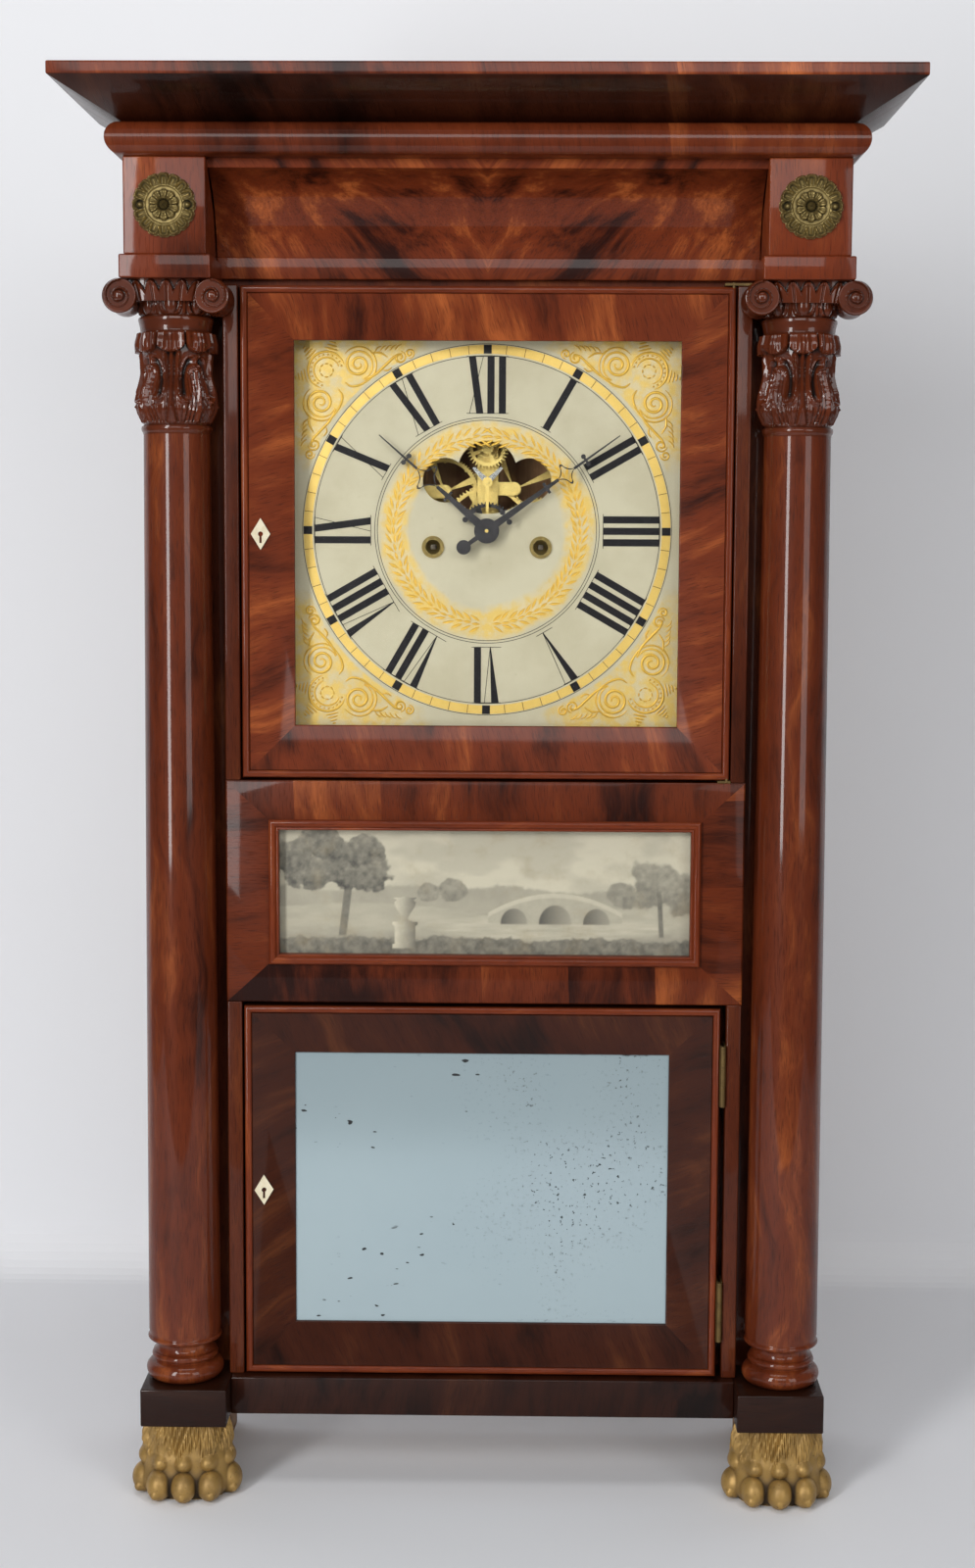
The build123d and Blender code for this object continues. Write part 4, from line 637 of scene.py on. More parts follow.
def dial_paint(name):
    """Warm grey-white paint with worn gold leaf in a ring and in the four corners."""
    material, tree, shader = blank(name)
    where = where_in(tree)
    axes = axes_of(tree, where)
    side = sums(tree, "MULTIPLY", axes[0], PER_METRE)
    rise = sums(tree, "MULTIPLY_ADD", axes[2], PER_METRE, -CENTRE_Z)
    radius = distance(tree, side, rise)
    cloud = noise(tree, where, (26, 26, 26), 4.0, 0.6)
    fine = noise(tree, where, (150, 150, 150), 3.0, 0.6)
    away = sums(tree, "ABSOLUTE", sums(tree, "SUBTRACT", radius, WREATH_MID))
    reach = sums(tree, "MULTIPLY_ADD", sums(tree, "SUBTRACT", cloud, 0.5), WREATH_RAGGED, away)
    wreath = fade(tree, reach, 6.0, 12.0, 1.0, 0.0)
    corner = sums(tree, "MINIMUM", sums(tree, "ABSOLUTE", side), sums(tree, "ABSOLUTE", rise))
    corner = sums(tree, "MULTIPLY_ADD", sums(tree, "SUBTRACT", cloud, 0.5), CORNER_RAGGED, corner)
    corner = sums(tree, "MULTIPLY", fade(tree, corner, 36.0, 56.0), fade(tree, radius, 126.5, 128.5))
    gold = sums(tree, "MAXIMUM", wreath, corner)
    gold = sums(tree, "MULTIPLY", gold, fade(tree, fine, 0.35, 0.65, 0.3, 0.85))
    paint = mixed(tree, fade(tree, cloud, 0.3, 0.7), srgb(198, 190, 162), srgb(186, 177, 148))
    worn = fade(tree, fine, 0.66, 0.8)
    paint = mixed(tree, sums(tree, "MULTIPLY", worn, 0.3), paint, srgb(150, 138, 104))
    feed(shader, {"Base Color": mixed(tree, gold, paint, srgb(206, 170, 70)),
                  "Metallic": sums(tree, "MULTIPLY", gold, 0.3),
                  "Roughness": sums(tree, "MULTIPLY_ADD", fine, 0.2, 0.4)})
    bumped(tree, shader, fine, 0.00006)
    return material


dial_finish = dial_paint("dial_paint")
print("dial paint made, centre of the hands at", round(CENTRE_Z, 1))

# %% [markdown]
# Finishes for the solids that stay
# Most of the movement and the flat boards are right as they are. A solid node already has a material slot, so
# dressing it means putting the new finish in that slot. Inside pieces get the same care as the rest, because
# the doors open.

# %% Dress the solid nodes
def dress(material, *nodes):
    """Puts a finish on solid nodes in place of the one they came with."""
    for node in nodes:
        holder = frame["nodes"][node]
        holder.data.materials.clear()
        holder.data.materials.append(material)


dress(brass, "front_plate", "back_plate", "bell", "pulley_brackets", "time_pulley", "strike_pulley",
      "centre_wheel", "intermediate_wheel", "third_wheel", "escape_wheel", "time_great_wheel",
      "strike_great_wheel", "pin_wheel", "strike_fly", "minute_wheel", "pendulum")
dress(old_hinge, "case_hinge_plates", "lower_hinge_door_leaves", "upper_hinge_pins")
dress(bezel_bronze, "winding_bezels")
dress(steel, "verge", "strike_hammer")
dress(dark_steel, "hour_hand", "minute_hand")
dress(drum_wood, "time_drum", "strike_drum")
dress(iron, "time_weight", "strike_weight")
dress(bone, "upper_escutcheon", "lower_escutcheon")
dress(clear_glass, "upper_door_glass", "picture_glass")
dress(mirror, "mirror_plate")
dress(dial_finish, "dial_board")
dress(back_pine, "backboard", "mirror_backing")
dress(board_pine, "end_boards", "rear_feet")
dress(side_wood, "side_boards", "front_frame")
print("solid nodes dressed")

# %% [markdown]
# Mouldings that run round the front
# The cornice and the roll under it are lengths of moulding mitred at the two front corners. Each is one
# outline, given as how far it stands out and how high it is, carried along the left side, the front and the
# right side. At each corner the outline stands out both ways, so the mitre comes by itself. The map runs
# along each length and across it, in units of 100 mm, so that the veneer turns the corner as the real one
# does.

# %% Cornice and roll moulding
BLOCKS = span("rosette_blocks")
ROLL = span("roll_moulding")
FRIEZE = span("frieze_cove")
ROLL_BULGE = 10.0
CASE_HALF = ROLL[1] - ROLL_BULGE
CASE_FRONT = ROLL[3] - ROLL_BULGE
MAP_UNIT = 0.01


def arc(centre, radius, start, end, count):
    """Points on a round: centre plus radius times (cosine, sine) of angles in degrees."""
    turn = np.radians(np.linspace(start, end, count))
    return np.stack([centre[0] + radius * np.cos(turn), centre[1] + radius * np.sin(turn)], -1)


def lengths(points):
    """How far along an outline each of its points lies."""
    step = np.linalg.norm(np.diff(points, axis=0), axis=1)
    return np.concatenate([[0.0], np.cumsum(step)])


def returned(profile, side, front, back):
    """Carries an outline of (stands out, height) round two front corners, with lids above and below.
    A point at overhang o lies at x = side + o, forward = front + o, and the sides run back to the wall."""
    out, z = profile[:, 0], profile[:, 1]
    v = lengths(profile)
    edge = [(-(side + out), np.full_like(out, back)), (-(side + out), front + out),
            (side + out, front + out), (side + out, np.full_like(out, back))]
    corners = [np.stack([x, f, z], -1) for x, f in edge]
    made = []
    for first, second in zip(corners, corners[1:] + corners[:1]):
        run = np.linalg.norm(second - first, axis=-1)
        uv = np.stack([np.stack([-run / 2, v], -1), np.stack([run / 2, v], -1)]) * MAP_UNIT
        made.append(patch(np.stack([first, second]), uv=uv))
    for row in (0, -1):
        lid = np.array([[corners[0][row], corners[1][row]], [corners[3][row], corners[2][row]]])
        made.append(patch(lid, uv=lid[..., :2] * MAP_UNIT))
    return made


ARRIS = 1.2
FASCIA = 8.5
overhang = CORNICE[1] - CASE_HALF
fascia_low = CORNICE[5] - FASCIA
lower_edge = arc((overhang - ARRIS, fascia_low + ARRIS), ARRIS, -60, 0, 5)
slope_line = np.concatenate([[(0.0, CORNICE[4])], lower_edge[:3]])
upper_edge = arc((overhang - ARRIS, CORNICE[5] - ARRIS), ARRIS, 0, 90, 6)
fascia_line = np.concatenate([lower_edge[2:], upper_edge])
roll_half = (ROLL[5] - ROLL[4]) / 2
roll_turn = np.linspace(0, math.pi, 25)
roll_rise = ROLL[4] + roll_half - roll_half * np.cos(roll_turn)
roll_line = np.stack([ROLL_BULGE * np.sin(roll_turn), roll_rise], -1)
for name, line, finish in (("slope", slope_line, veneer_cornice), ("fascia", fascia_line, fascia_wood)):
    piece("cornice_" + name, returned(line, CASE_HALF, CASE_FRONT, CORNICE[2]), finish, "case",
          ["cornice"])
piece("roll_under_cornice", returned(roll_line, CASE_HALF, CASE_FRONT, ROLL[2]),
      bead_roll, "case", ["roll_moulding"])

# %% [markdown]
# The coved frieze
# Between the rosette blocks the front hollows inward like a scoop, veneered with a pair of matching leaves
# whose flames lean to the middle. It is one outline of (forward, height) carried straight across. The hollow
# is a circle through three points: the bottom edge, a point well back, and the top edge.

# %% Frieze
FRIEZE_FILLET, FRIEZE_LIP = 14.5, 6.0
FILLET_OUT, FRIEZE_EASE, COVE_SHY = 6.0, 0.8, 2.0
HOLLOW_DEEP, HOLLOW_HIGH = 0.36, 0.62


def three_point_arc(first, middle, last, count):
    """Points on the circle through three points: its centre solves two equal-distance equations."""
    a, b, c = np.array(first), np.array(middle), np.array(last)
    rows = 2 * np.stack([b - a, c - a])
    centre = np.linalg.solve(rows, np.array([b @ b - a @ a, c @ c - a @ a]))
    turn = np.arctan2(*(np.stack([a, b, c]) - centre).T[::-1])
    turn = np.unwrap(turn)
    radius = np.linalg.norm(a - centre)
    steps = np.linspace(turn[0], turn[2], count)
    return centre + radius * np.stack([np.cos(steps), np.sin(steps)], -1)


def carried_across(loop, left, right):
    """A closed outline of (forward, height) carried along x, with a lid at each end."""
    wall = np.stack([np.stack([np.full(len(loop), x), loop[:, 0], loop[:, 1]], -1) for x in (left, right)])
    return [patch(wall, ring_cols=True)] + lids(wall)


back, front, low, high = FRIEZE[2], FRIEZE[3], FRIEZE[4], FRIEZE[5]
fillet_edge = back + FILLET_OUT - FRIEZE_EASE
cove_low, cove_high = low + FRIEZE_FILLET, high - FRIEZE_LIP
hollow_at = (back + HOLLOW_DEEP * (front - COVE_SHY - back), cove_low + HOLLOW_HIGH * (cove_high - cove_low))
cove = three_point_arc((fillet_edge, cove_low), hollow_at, (front - COVE_SHY, cove_high), 25)
frieze_loop = np.concatenate([
    [(back, low)], arc((fillet_edge, low + FRIEZE_EASE), FRIEZE_EASE, -90, 0, 4),
    arc((fillet_edge, cove_low - FRIEZE_EASE), FRIEZE_EASE, 0, 90, 4), cove[1:],
    arc((front - FRIEZE_EASE, cove_high + FRIEZE_EASE), FRIEZE_EASE, -90, 0, 4),
    [(front, high), (back, high)]])
piece("coved_frieze", carried_across(frieze_loop, FRIEZE[0], FRIEZE[1]), frieze_wood, "case",
      ["frieze_cove"])

# %% [markdown]
# Square blocks with eased edges
# Blocks, plinths, posts and rails are square sawn, but no polished edge is knife sharp: sandpaper and two
# centuries of dusting round it by about a millimetre. The surface is a stack of rounded rectangles. Near the
# bottom and top each one is drawn in along a quarter circle, and a lid closes each end.

# %% Blocks, plinths, rail and posts
EASE = 1.0
ROUND_STEPS = 4


def eased_block(left, right, back, front, low, high):
    """Rows are rounded rectangles at rising heights. Near both ends one that lies ease * (1 - cos t) inside
    the end is drawn in by ease * (1 - sin t)."""
    turn = np.linspace(0, QUARTER, ROUND_STEPS)
    inset = EASE * (1 - np.sin(turn))
    height = EASE * (1 - np.cos(turn))
    rows = [(EASE, low)] + list(zip(inset, low + height)) + list(zip(inset[::-1], high - height[::-1]))
    rows += [(EASE, high)]
    signs = [(1, 1), (-1, 1), (-1, -1), (1, -1)]
    loops = []
    for pull, z in rows:
        ring = []
        for number, (sx, sf) in enumerate(signs):
            at = turn + number * QUARTER
            reach = max(EASE - pull, 0.0)
            cx = (right if sx > 0 else left) - sx * EASE
            cf = (front if sf > 0 else back) - sf * EASE
            ring.append(np.stack([cx + reach * np.cos(at), cf + reach * np.sin(at),
                                  np.full_like(at, z)], -1))
        loops.append(np.concatenate(ring))
    wall = np.stack(loops)
    return [patch(wall, ring_cols=True)] + lids(wall)


def both_sides(left, right, *rest):
    """The same eased block on the right and, across the middle, on the left."""
    return eased_block(left, right, *rest) + eased_block(-right, -left, *rest)


SLAB_HIGH, SLAB_STEP, POST_GAP = 15.0, 3.0, 1.0
SLAB_TOP = span("capital_right")[5] + SLAB_HIGH
block_inner = FRIEZE[1]
upright = (block_inner, CASE_HALF, BLOCKS[2], CASE_FRONT, SLAB_TOP, BLOCKS[5])
slab_inner = block_inner - SLAB_STEP
slab = (slab_inner, BLOCKS[1], BLOCKS[2], BLOCKS[3], BLOCKS[4], SLAB_TOP)
piece("rosette_block_pair", both_sides(*upright) + both_sides(*slab), block_wood, "case",
      ["rosette_blocks"])
PLINTHS = span("plinths")
RAIL = span("base_rail")
POSTS = span("door_posts")
PANEL = span("middle_panel")
POST_INNER = UPPER[1] + POST_GAP
piece("plinth_pair", both_sides(RAIL[1], *PLINTHS[1:]), plinth_wood, "case", ["plinths"])
piece("base_rail_veneered", eased_block(*RAIL), rail_wood, "case", ["base_rail"])
lower_post = (POST_INNER, POSTS[1], POSTS[2], POSTS[3], POSTS[4], PANEL[4])
upper_post = (POST_INNER, POSTS[1], POSTS[2], POSTS[3], PANEL[5], POSTS[5])
piece("door_post_set", both_sides(*lower_post) + both_sides(*upper_post), post_wood, "case",
      ["door_posts"])

# %% [markdown]
# Turned columns
# A column is turned on a lathe: one outline spun about an upright line. The base has a fat torus, a thin
# ring, a hollow and a sharp collar, and the shaft swells a little towards the bottom. Spinning a smooth
# outline with many steps gives the long clean highlights that polish shows.

# %% Columns
AROUND = 120
SHAFT_LOW, SHAFT_TOP, SHAFT_POWER = 24.6, 22.0, 1.25
BASE_HIGH = 36.0


def spun(profile, x, forward):
    """Each outline point (radius, height) goes round a circle: x + r cos, forward + r sin."""
    turn = np.linspace(0, 2 * math.pi, AROUND, endpoint=False)
    r, z = profile[:, 0][:, None], profile[:, 1][:, None]
    grid = np.stack([x + r * np.cos(turn), forward + r * np.sin(turn), z + 0 * turn], -1)
    return patch(grid, ring_cols=True)


COLUMN = span("column_right")
TORUS_R, RING_R, COVE_R, COLLAR_R = 6.5, 2.6, 4.8, 1.8
column_x, column_f = middle_of(COLUMN)[:2]
base_r = (COLUMN[1] - COLUMN[0]) / 2
foot, top = COLUMN[4], COLUMN[5]
shaft_z = np.linspace(foot + BASE_HIGH, top, 24)
swell = (shaft_z - shaft_z[0]) / (top - shaft_z[0])
column_line = np.concatenate([
    [(0.0, foot)],
    arc((base_r - TORUS_R, foot + TORUS_R), TORUS_R, -80, 75, 14),
    [(base_r - 5.6, foot + 13.4)],
    arc((base_r - 6.4, foot + 16.4), RING_R, -70, 75, 8),
    arc((base_r - 2.4, foot + 23.6), COVE_R, 238, 140, 10),
    arc((base_r - 3.0, foot + 29.2), COLLAR_R, -60, 60, 7),
    [(SHAFT_LOW - 0.5, foot + 31.6), (SHAFT_LOW, foot + 34.0)],
    np.stack([SHAFT_LOW + (SHAFT_TOP - SHAFT_LOW) * swell ** SHAFT_POWER, shaft_z], -1),
    [(0.0, top)],
])
for side_name, sign in (("right", 1), ("left", -1)):
    piece("turned_column_" + side_name, [spun(column_line, sign * column_x, column_f)], column_wood, "case",
          ["column_" + side_name])

# %% [markdown]
# Frames round an opening
# Doors, the middle panel and the picture moulding are frames: four lengths of one outline mitred at the
# corners. A point of the outline says how far it lies from the outer edge towards the opening, and how far
# forward. Each length is its own grid, with a map that runs along it, so veneer meets in a mitre at the
# corners. The beads are solid wood with the grain along them, so they are separate pieces.

# %% Door frames, panel and picture moulding
MEMBER_SHIFT = 7.0


def framed(outer, inner, profile):
    """Four mitred lengths. A share t of 0 is the outer edge and 1 the opening, the same along x and z.
    A corner of the frame at share t is outer + t * (inner - outer). The map is shifted from one length to
    the next, so that no two show the same figure."""
    t, forward = profile[:, 0][:, None], profile[:, 1]
    v = lengths(np.stack([profile[:, 0] * abs(inner[0] - outer[0]), forward], -1))
    corners = []
    for side, level in ((0, 2), (1, 2), (1, 3), (0, 3)):
        far = np.array([outer[side], outer[level]])
        near = np.array([inner[side], inner[level]])
        flat = far + t * (near - far)
        corners.append(np.stack([flat[:, 0], forward, flat[:, 1]], -1))
    made = []
    for number, (first, second) in enumerate(zip(corners, corners[1:] + corners[:1])):
        run = np.linalg.norm(second - first, axis=-1)
        shift = MEMBER_SHIFT * number
        uv = np.stack([np.stack([-run / 2 * MAP_UNIT + shift, v * MAP_UNIT], -1),
                       np.stack([run / 2 * MAP_UNIT + shift, v * MAP_UNIT], -1)])
        made.append(patch(np.stack([first, second]), ring_cols=True, uv=uv))
    return made


def drawn_in(sides, width):
    """A rectangle (left, right, low, high) made smaller by a width all round."""
    left, right, low, high = sides
    return left + width, right - width, low + width, high - width


BEAD_R, BEAD_SUNK = 2.4, 0.2
GLASS_LAP, GLASS_SEAT = 5.0, 2.0
SLOPE_TOP = -1.6


def door(name, sides, width, wood, node, body, glass_front):
    """A veneered slope from the bead down to the glass, and a half-round bead on the outer edge."""
    back = sides[2]
    outer = front_of(sides)
    inner = drawn_in(outer, width)
    drop = glass_front + GLASS_SEAT
    bead_foot = -BEAD_R - BEAD_SUNK
    face = np.array([
        (0.0, back), (0.0, bead_foot), (2 * BEAD_R + 0.1, bead_foot), (2 * BEAD_R + 0.5, SLOPE_TOP),
        (width - 0.7, drop + 0.2), (width - 0.2, drop - 0.25), (width, drop - 0.9), (width, glass_front),
        (width - GLASS_LAP, glass_front), (width - GLASS_LAP, back)])
    face[:, 0] /= width
    piece(name + "_veneer", framed(outer, inner, face), wood, body, [node])
    half_round = arc((BEAD_R, -BEAD_R), BEAD_R, 180, 0, 13)
    strip = np.concatenate([[(0.0, bead_foot)], half_round, [(2 * BEAD_R, bead_foot)]])
    strip[:, 0] /= width
    piece(name + "_bead", framed(outer, inner, strip), bead_wood, body)


UPPER_GLASS = span("upper_door_glass")
LOWER_GLASS = span("mirror_plate")
door("upper_door", UPPER, UPPER_GLASS[0] - UPPER[0] + GLASS_LAP, veneer_frame, "upper_door_frame",
     "upper_door", UPPER_GLASS[3])
door("lower_door", LOWER, LOWER_GLASS[0] - LOWER[0] + GLASS_LAP, veneer_lower, "lower_door_frame",
     "lower_door", LOWER_GLASS[3])
MOULD = span("picture_moulding")
CARD = span("picture_card")
panel_face = np.array([(0.0, PANEL[2]), (0.0, -0.8), (0.024, -0.1), (0.03, 0.0), (1.0, 0.0),
                       (1.0, PANEL[2])])
piece("middle_panel_veneer", framed(front_of(PANEL), front_of(CARD), panel_face), veneer_panel, "case",
      ["middle_panel"])
MOULD_WIDTH, MOULD_LIP = 7.0, 3.0
mould_in = drawn_in(front_of(MOULD), MOULD_WIDTH)
lip_edge = MOULD_WIDTH - MOULD_LIP
crown = np.concatenate([
    [(0.0, 0.0), (0.0, 1.0)], arc((2.6, 1.6), 2.6, 170, 40, 9), [(5.0, 2.6), (5.3, 2.2)],
    arc((6.0, 1.8), 0.9, 150, 0, 6),
    [(MOULD_WIDTH, 0.0), (MOULD_WIDTH, MOULD[2]), (lip_edge, MOULD[2]), (lip_edge, 0.0)]])
crown[:, 0] /= MOULD_WIDTH
crown[:, 0] = np.minimum(crown[:, 0], 1.0)
piece("picture_moulding_bead", framed(front_of(MOULD), mould_in, crown), bead_wood, "case",
      ["picture_moulding"])

# %% [markdown]
# Carving as a map of heights
# A carver draws the pattern on a plain blank and cuts it back. The same works here: the blank is a simple
# surface, and a map of heights says how far each of its points stands out. Ridges and cuts follow drawn
# curves. For each grid point the helper finds the distance to the nearest point of a curve, and adds a
# rounded ridge, or with a negative height a rounded cut, that fades with that distance.

# %% Carving helpers
def smooth_step(value, low, high):
    """0 below low, 1 above high, and 3t^2 - 2t^3 between."""
    t = np.clip((value - low) / (high - low), 0.0, 1.0)
    return t * t * (3 - 2 * t)


def drawn(points, count=60):
    """A smooth curve through points: each coordinate is a Catmull-Rom cubic of its four neighbours."""
    p = np.asarray(points, float)
    p = np.concatenate([[2 * p[0] - p[1]], p, [2 * p[-1] - p[-2]]])
    at = np.linspace(0, len(p) - 3 - 1e-9, count)
    k = at.astype(int)
    t = (at - k)[:, None]
    a, b, c, d = p[k], p[k + 1], p[k + 2], p[k + 3]
    return 0.5 * (2 * b + (c - a) * t + (2 * a - 5 * b + 4 * c - d) * t ** 2
                  + (3 * b - a - 3 * c + d) * t ** 3)


def ridge(across, up, curve, width, height):
    """height * exp(-(distance to the curve / width)^2), for grids of two flat coordinates."""
    gap = (across[..., None] - curve[:, 0]) ** 2 + (up[..., None] - curve[:, 1]) ** 2
    return height * np.exp(-gap.min(-1) / width ** 2)


def bump(value, at, width):
    """exp(-((value - at) / width)^2): 1 at one value, and soon 0 on both sides of it."""
    return np.exp(-((value - at) / width) ** 2)


def dome(value, radius):
    """The height of a unit dome, the root of 1 - (value / radius)^2, and 0 beyond its edge."""
    return np.sqrt(np.clip(1 - (value / radius) ** 2, 0, 1))


def round_grid(around, first, last, rows):
    """Grids of an angle, which goes once round along the columns, and of a value that runs down the rows."""
    turn = np.linspace(0, 2 * math.pi, around, endpoint=False)
    return np.meshgrid(turn, np.linspace(first, last, rows))


def sideways(path):
    """Unit steps square to a flat path at each of its points, to its left."""
    flow = np.gradient(path, axis=0)
    flow = flow / np.linalg.norm(flow, axis=1, keepdims=True)
    return np.stack([-flow[:, 1], flow[:, 0]], -1)


def folded(turn, count):
    """Angle from the nearest of count equal spokes, without its sign."""
    step = 2 * math.pi / count
    return np.abs((turn + step / 2) % step - step / 2)


LEVEL_SHARE = 0.62


# The finishes darken low values with the grime colour: dirt, and painted shade in the cuts.
def hollows(height, reach, depth):
    """How hollow each grid point is: its height over the mean of its surroundings, as a share of a depth.
    Columns go round, so they wrap; rows repeat at their ends. 0 is a deep cut, 1 stands proud, and a plain
    place has the level share."""
    mean = height
    for axis, mode in ((0, "edge"), (1, "wrap")):
        pad = [(0, 0), (0, 0)]
        pad[axis] = (reach + 1, reach)
        wide = np.cumsum(np.pad(mean, pad, mode=mode), axis)
        size = 2 * reach + 1
        mean = (np.take(wide, np.arange(size, wide.shape[axis]), axis)
                - np.take(wide, np.arange(0, wide.shape[axis] - size), axis)) / size
    return np.clip(LEVEL_SHARE + (height - mean) / depth, 0.0, 1.0)


# %% [markdown]
# The carved capitals
# Each capital is one block of mahogany: a thin ring, a bell of four acanthus leaves with side leaves between
# them, eight leaf tips that hang over, a plain collar, a row of eggs and darts, and a cushion of leaves
# between two scrolls. The bell part is a turned blank whose radius changes with angle and height. Each leaf
# has a stalk in the middle, and a deep scoop on either side parts it from its neighbours. The cushion is a
# rounded rectangle with five leaf lobes, and each scroll is a disc with a spiral ridge.

# %% The bell of leaves
CAP = span("capital_right")
CAP_FOOT, CAP_HIGH = CAP[4], CAP[5] - CAP[4]
LEAVES, EGGS = 4, 8
BELL_R, BELL_HIGH = 24.0, 89.0
BELL_LINE = [(0.0, 22.2), (1.0, 22.4), (2.0, 23.1), (3.6, 23.5), (5.2, 23.1), (6.0, 21.6), (8.0, 22.4),
             (18.0, 23.0), (32.0, 22.0), (46.0, 21.8), (53.0, 22.6), (66.0, 23.6), (67.5, 23.4), (70.0, 23.8),
             (74.0, 24.8), (75.6, 24.6), (76.6, 22.6), (79.0, 22.6), (BELL_HIGH, 23.4)]


def turned_blank(h):
    """Radius of the uncut bell at height h above its foot, from (height, radius) points of its outline."""
    return np.interp(h, *np.transpose(BELL_LINE))


STALK = [([(0.0, 53), (0.0, 34), (0.0, 18)], 0.9, 1.2), ([(0.0, 18), (1.2, 13), (2.4, 7)], 0.8, 0.9),
         ([(2.3, 53), (1.9, 36), (2.0, 24), (3.2, 14), (4.8, 7)], 0.8, -1.3),
         ([(5.2, 53), (4.6, 44), (4.3, 35), (4.9, 27), (7.2, 21.5), (10.4, 20.5)], 1.1, 2.3)]
SCOOP = [([(13.4, 47), (10.6, 42), (9.0, 35), (8.8, 27)], 3.3, -3.6),
         ([(16.0, 50), (11.4, 49), (8.0, 44), (6.6, 36)], 0.7, 1.2),
         ([(17.0, 44), (13.0, 42.5), (11.2, 37), (10.9, 30), (11.2, 24)], 0.9, 2.0)]
SIDE_LEAF = [([(18.85, 42), (18.85, 22), (18.85, 8)], 0.9, 1.2),
             ([(17.0, 40), (16.6, 24), (15.4, 8)], 0.8, -1.4),
             ([(14.6, 38), (14.0, 22), (12.4, 8)], 0.8, -1.4),
             ([(11.4, 21), (10.8, 15), (9.4, 7)], 0.9, -1.4),
             ([(7.6, 18), (7.4, 12), (7.0, 7)], 0.8, -0.9)]
TIP_CUTS = [([(1.3, 53.4), (1.4, 60), (1.6, 66)], 0.6, -1.0),
            ([(5.6, 56), (5.4, 60), (5.0, 66)], 2.0, -1.2)]
SHELL = [([(6.6, 88), (6.4, 82), (4.2, 77.6), (0.0, 76.8)], 0.8, 1.8), ([(9.0, 87), (9.0, 78)], 0.7, 1.6)]
TIP_R, EGG_R = 27.0, 23.0


def lines_of(across, up, lines):
    """The sum of the ridges and cuts of a list of (curve points, width, height)."""
    return sum(ridge(across, up, drawn(points), width, height) for points, width, height in lines)


def bell_relief(turn, h):
    """Heights added to the blank: a swelling belly, the leaves' cuts, hanging tips, eggs and darts."""
    across = folded(turn, LEAVES) * BELL_R
    leaf = smooth_step(h, 6.5, 8.5) * smooth_step(h, 55.0, 51.0)
    belly = 3.2 * smooth_step(h, 6.0, 17.0) * smooth_step(h, 41.0, 25.0)
    leaf = leaf * lines_of(across, h, STALK + SCOOP + SIDE_LEAF)
    tip = folded(turn, 2 * LEAVES) * TIP_R
    share = np.clip(tip / (TIP_R * math.pi / (2 * LEAVES)), 0, 1)
    low_edge = 52.4 + 8.0 * (1 - np.sqrt(1 - share ** 2 * 0.98))
    hang = smooth_step(h, low_edge - 0.4, low_edge + 0.7) * smooth_step(h, 66.6, 65.2)
    droop = 4.6 - 1.9 * smooth_step(h, 58.0, 66.0) - 3.0 * smooth_step(share, 0.84, 1.0)
    droop += lines_of(tip, h, TIP_CUTS)
    egg = folded(turn, EGGS) * EGG_R
    span_h = smooth_step(h, 76.6, 77.6) * smooth_step(h, 88.5, 86.5)
    yolk = 3.0 * np.sqrt(np.clip(1 - (egg / 4.2) ** 2 - ((h - 83.5) / 6.6) ** 2, 0, 1))
    shell = lines_of(egg, h, SHELL)
    return leaf + belly + hang * droop + span_h * np.maximum(yolk, shell)


def carved_bell(x, forward):
    """Blank radius plus relief, spun about the column's middle. Rows rise, columns go round."""
    turn, h = round_grid(260, 0.0, BELL_HIGH, 190)
    r = turned_blank(h) + bell_relief(turn, h)
    grid = np.stack([x - r * np.sin(turn), forward + r * np.cos(turn), CAP_FOOT + h], -1)
    return patch(grid, ring_cols=True, relief=hollows(r, 8, 4.6))


# %% The cushion and its scrolls
VOLUTE_R, VOLUTE_REACH = 11.2, 30.0
VOLUTE_X = middle_of(CAP)[0]
VOLUTE_BACK, VOLUTE_RIM = 2.0, 0.9
SPIRAL_FALL = 8.2
CUSHION_LOW, LOBE = 85.0, 8.6
FRONT_POINTS = 190


def carved_cushion(x):
    """A rounded rectangle of leaves: the front stands out in five lobes with a midrib, and rows rise."""
    wide, deep, power = 27.0, 26.0, 4.8
    along = np.concatenate([np.linspace(-1, 1, FRONT_POINTS), np.linspace(1, -1, 26)[1:-1]])
    facing = np.where(np.arange(len(along)) < FRONT_POINTS, 1.0, -1.0)
    along, z = np.meshgrid(along, np.linspace(CUSHION_LOW, CAP_HIGH, 40))
    px, pf = wide * along, facing * deep * (1 - np.abs(along) ** power) ** (1 / power)
    rise = (z - CUSHION_LOW) / (CAP_HIGH - CUSHION_LOW)
    lean = px * (1 - 0.18 * rise)
    lobe_at = np.abs((lean + LOBE / 2) % LOBE - LOBE / 2)
    edge = 0.96 - 0.5 * (2 * lobe_at / LOBE) ** 2
    inside = smooth_step(rise, edge + 0.05, edge - 0.05)
    out = 0.4 + inside * (1.4 + 2.2 * rise) + 0.8 * bump(rise - edge, -0.08, 0.07)
    out -= 0.9 * inside * bump(lobe_at, 0.0, 0.6)
    front = smooth_step(pf, deep * 0.7, deep)
    grid = np.stack([x + px, pf + out * front, CAP_FOOT + z], -1)
    return [patch(grid, ring_cols=True, relief=hollows(out * front, 5, 2.6))] + lids(grid[::-1])


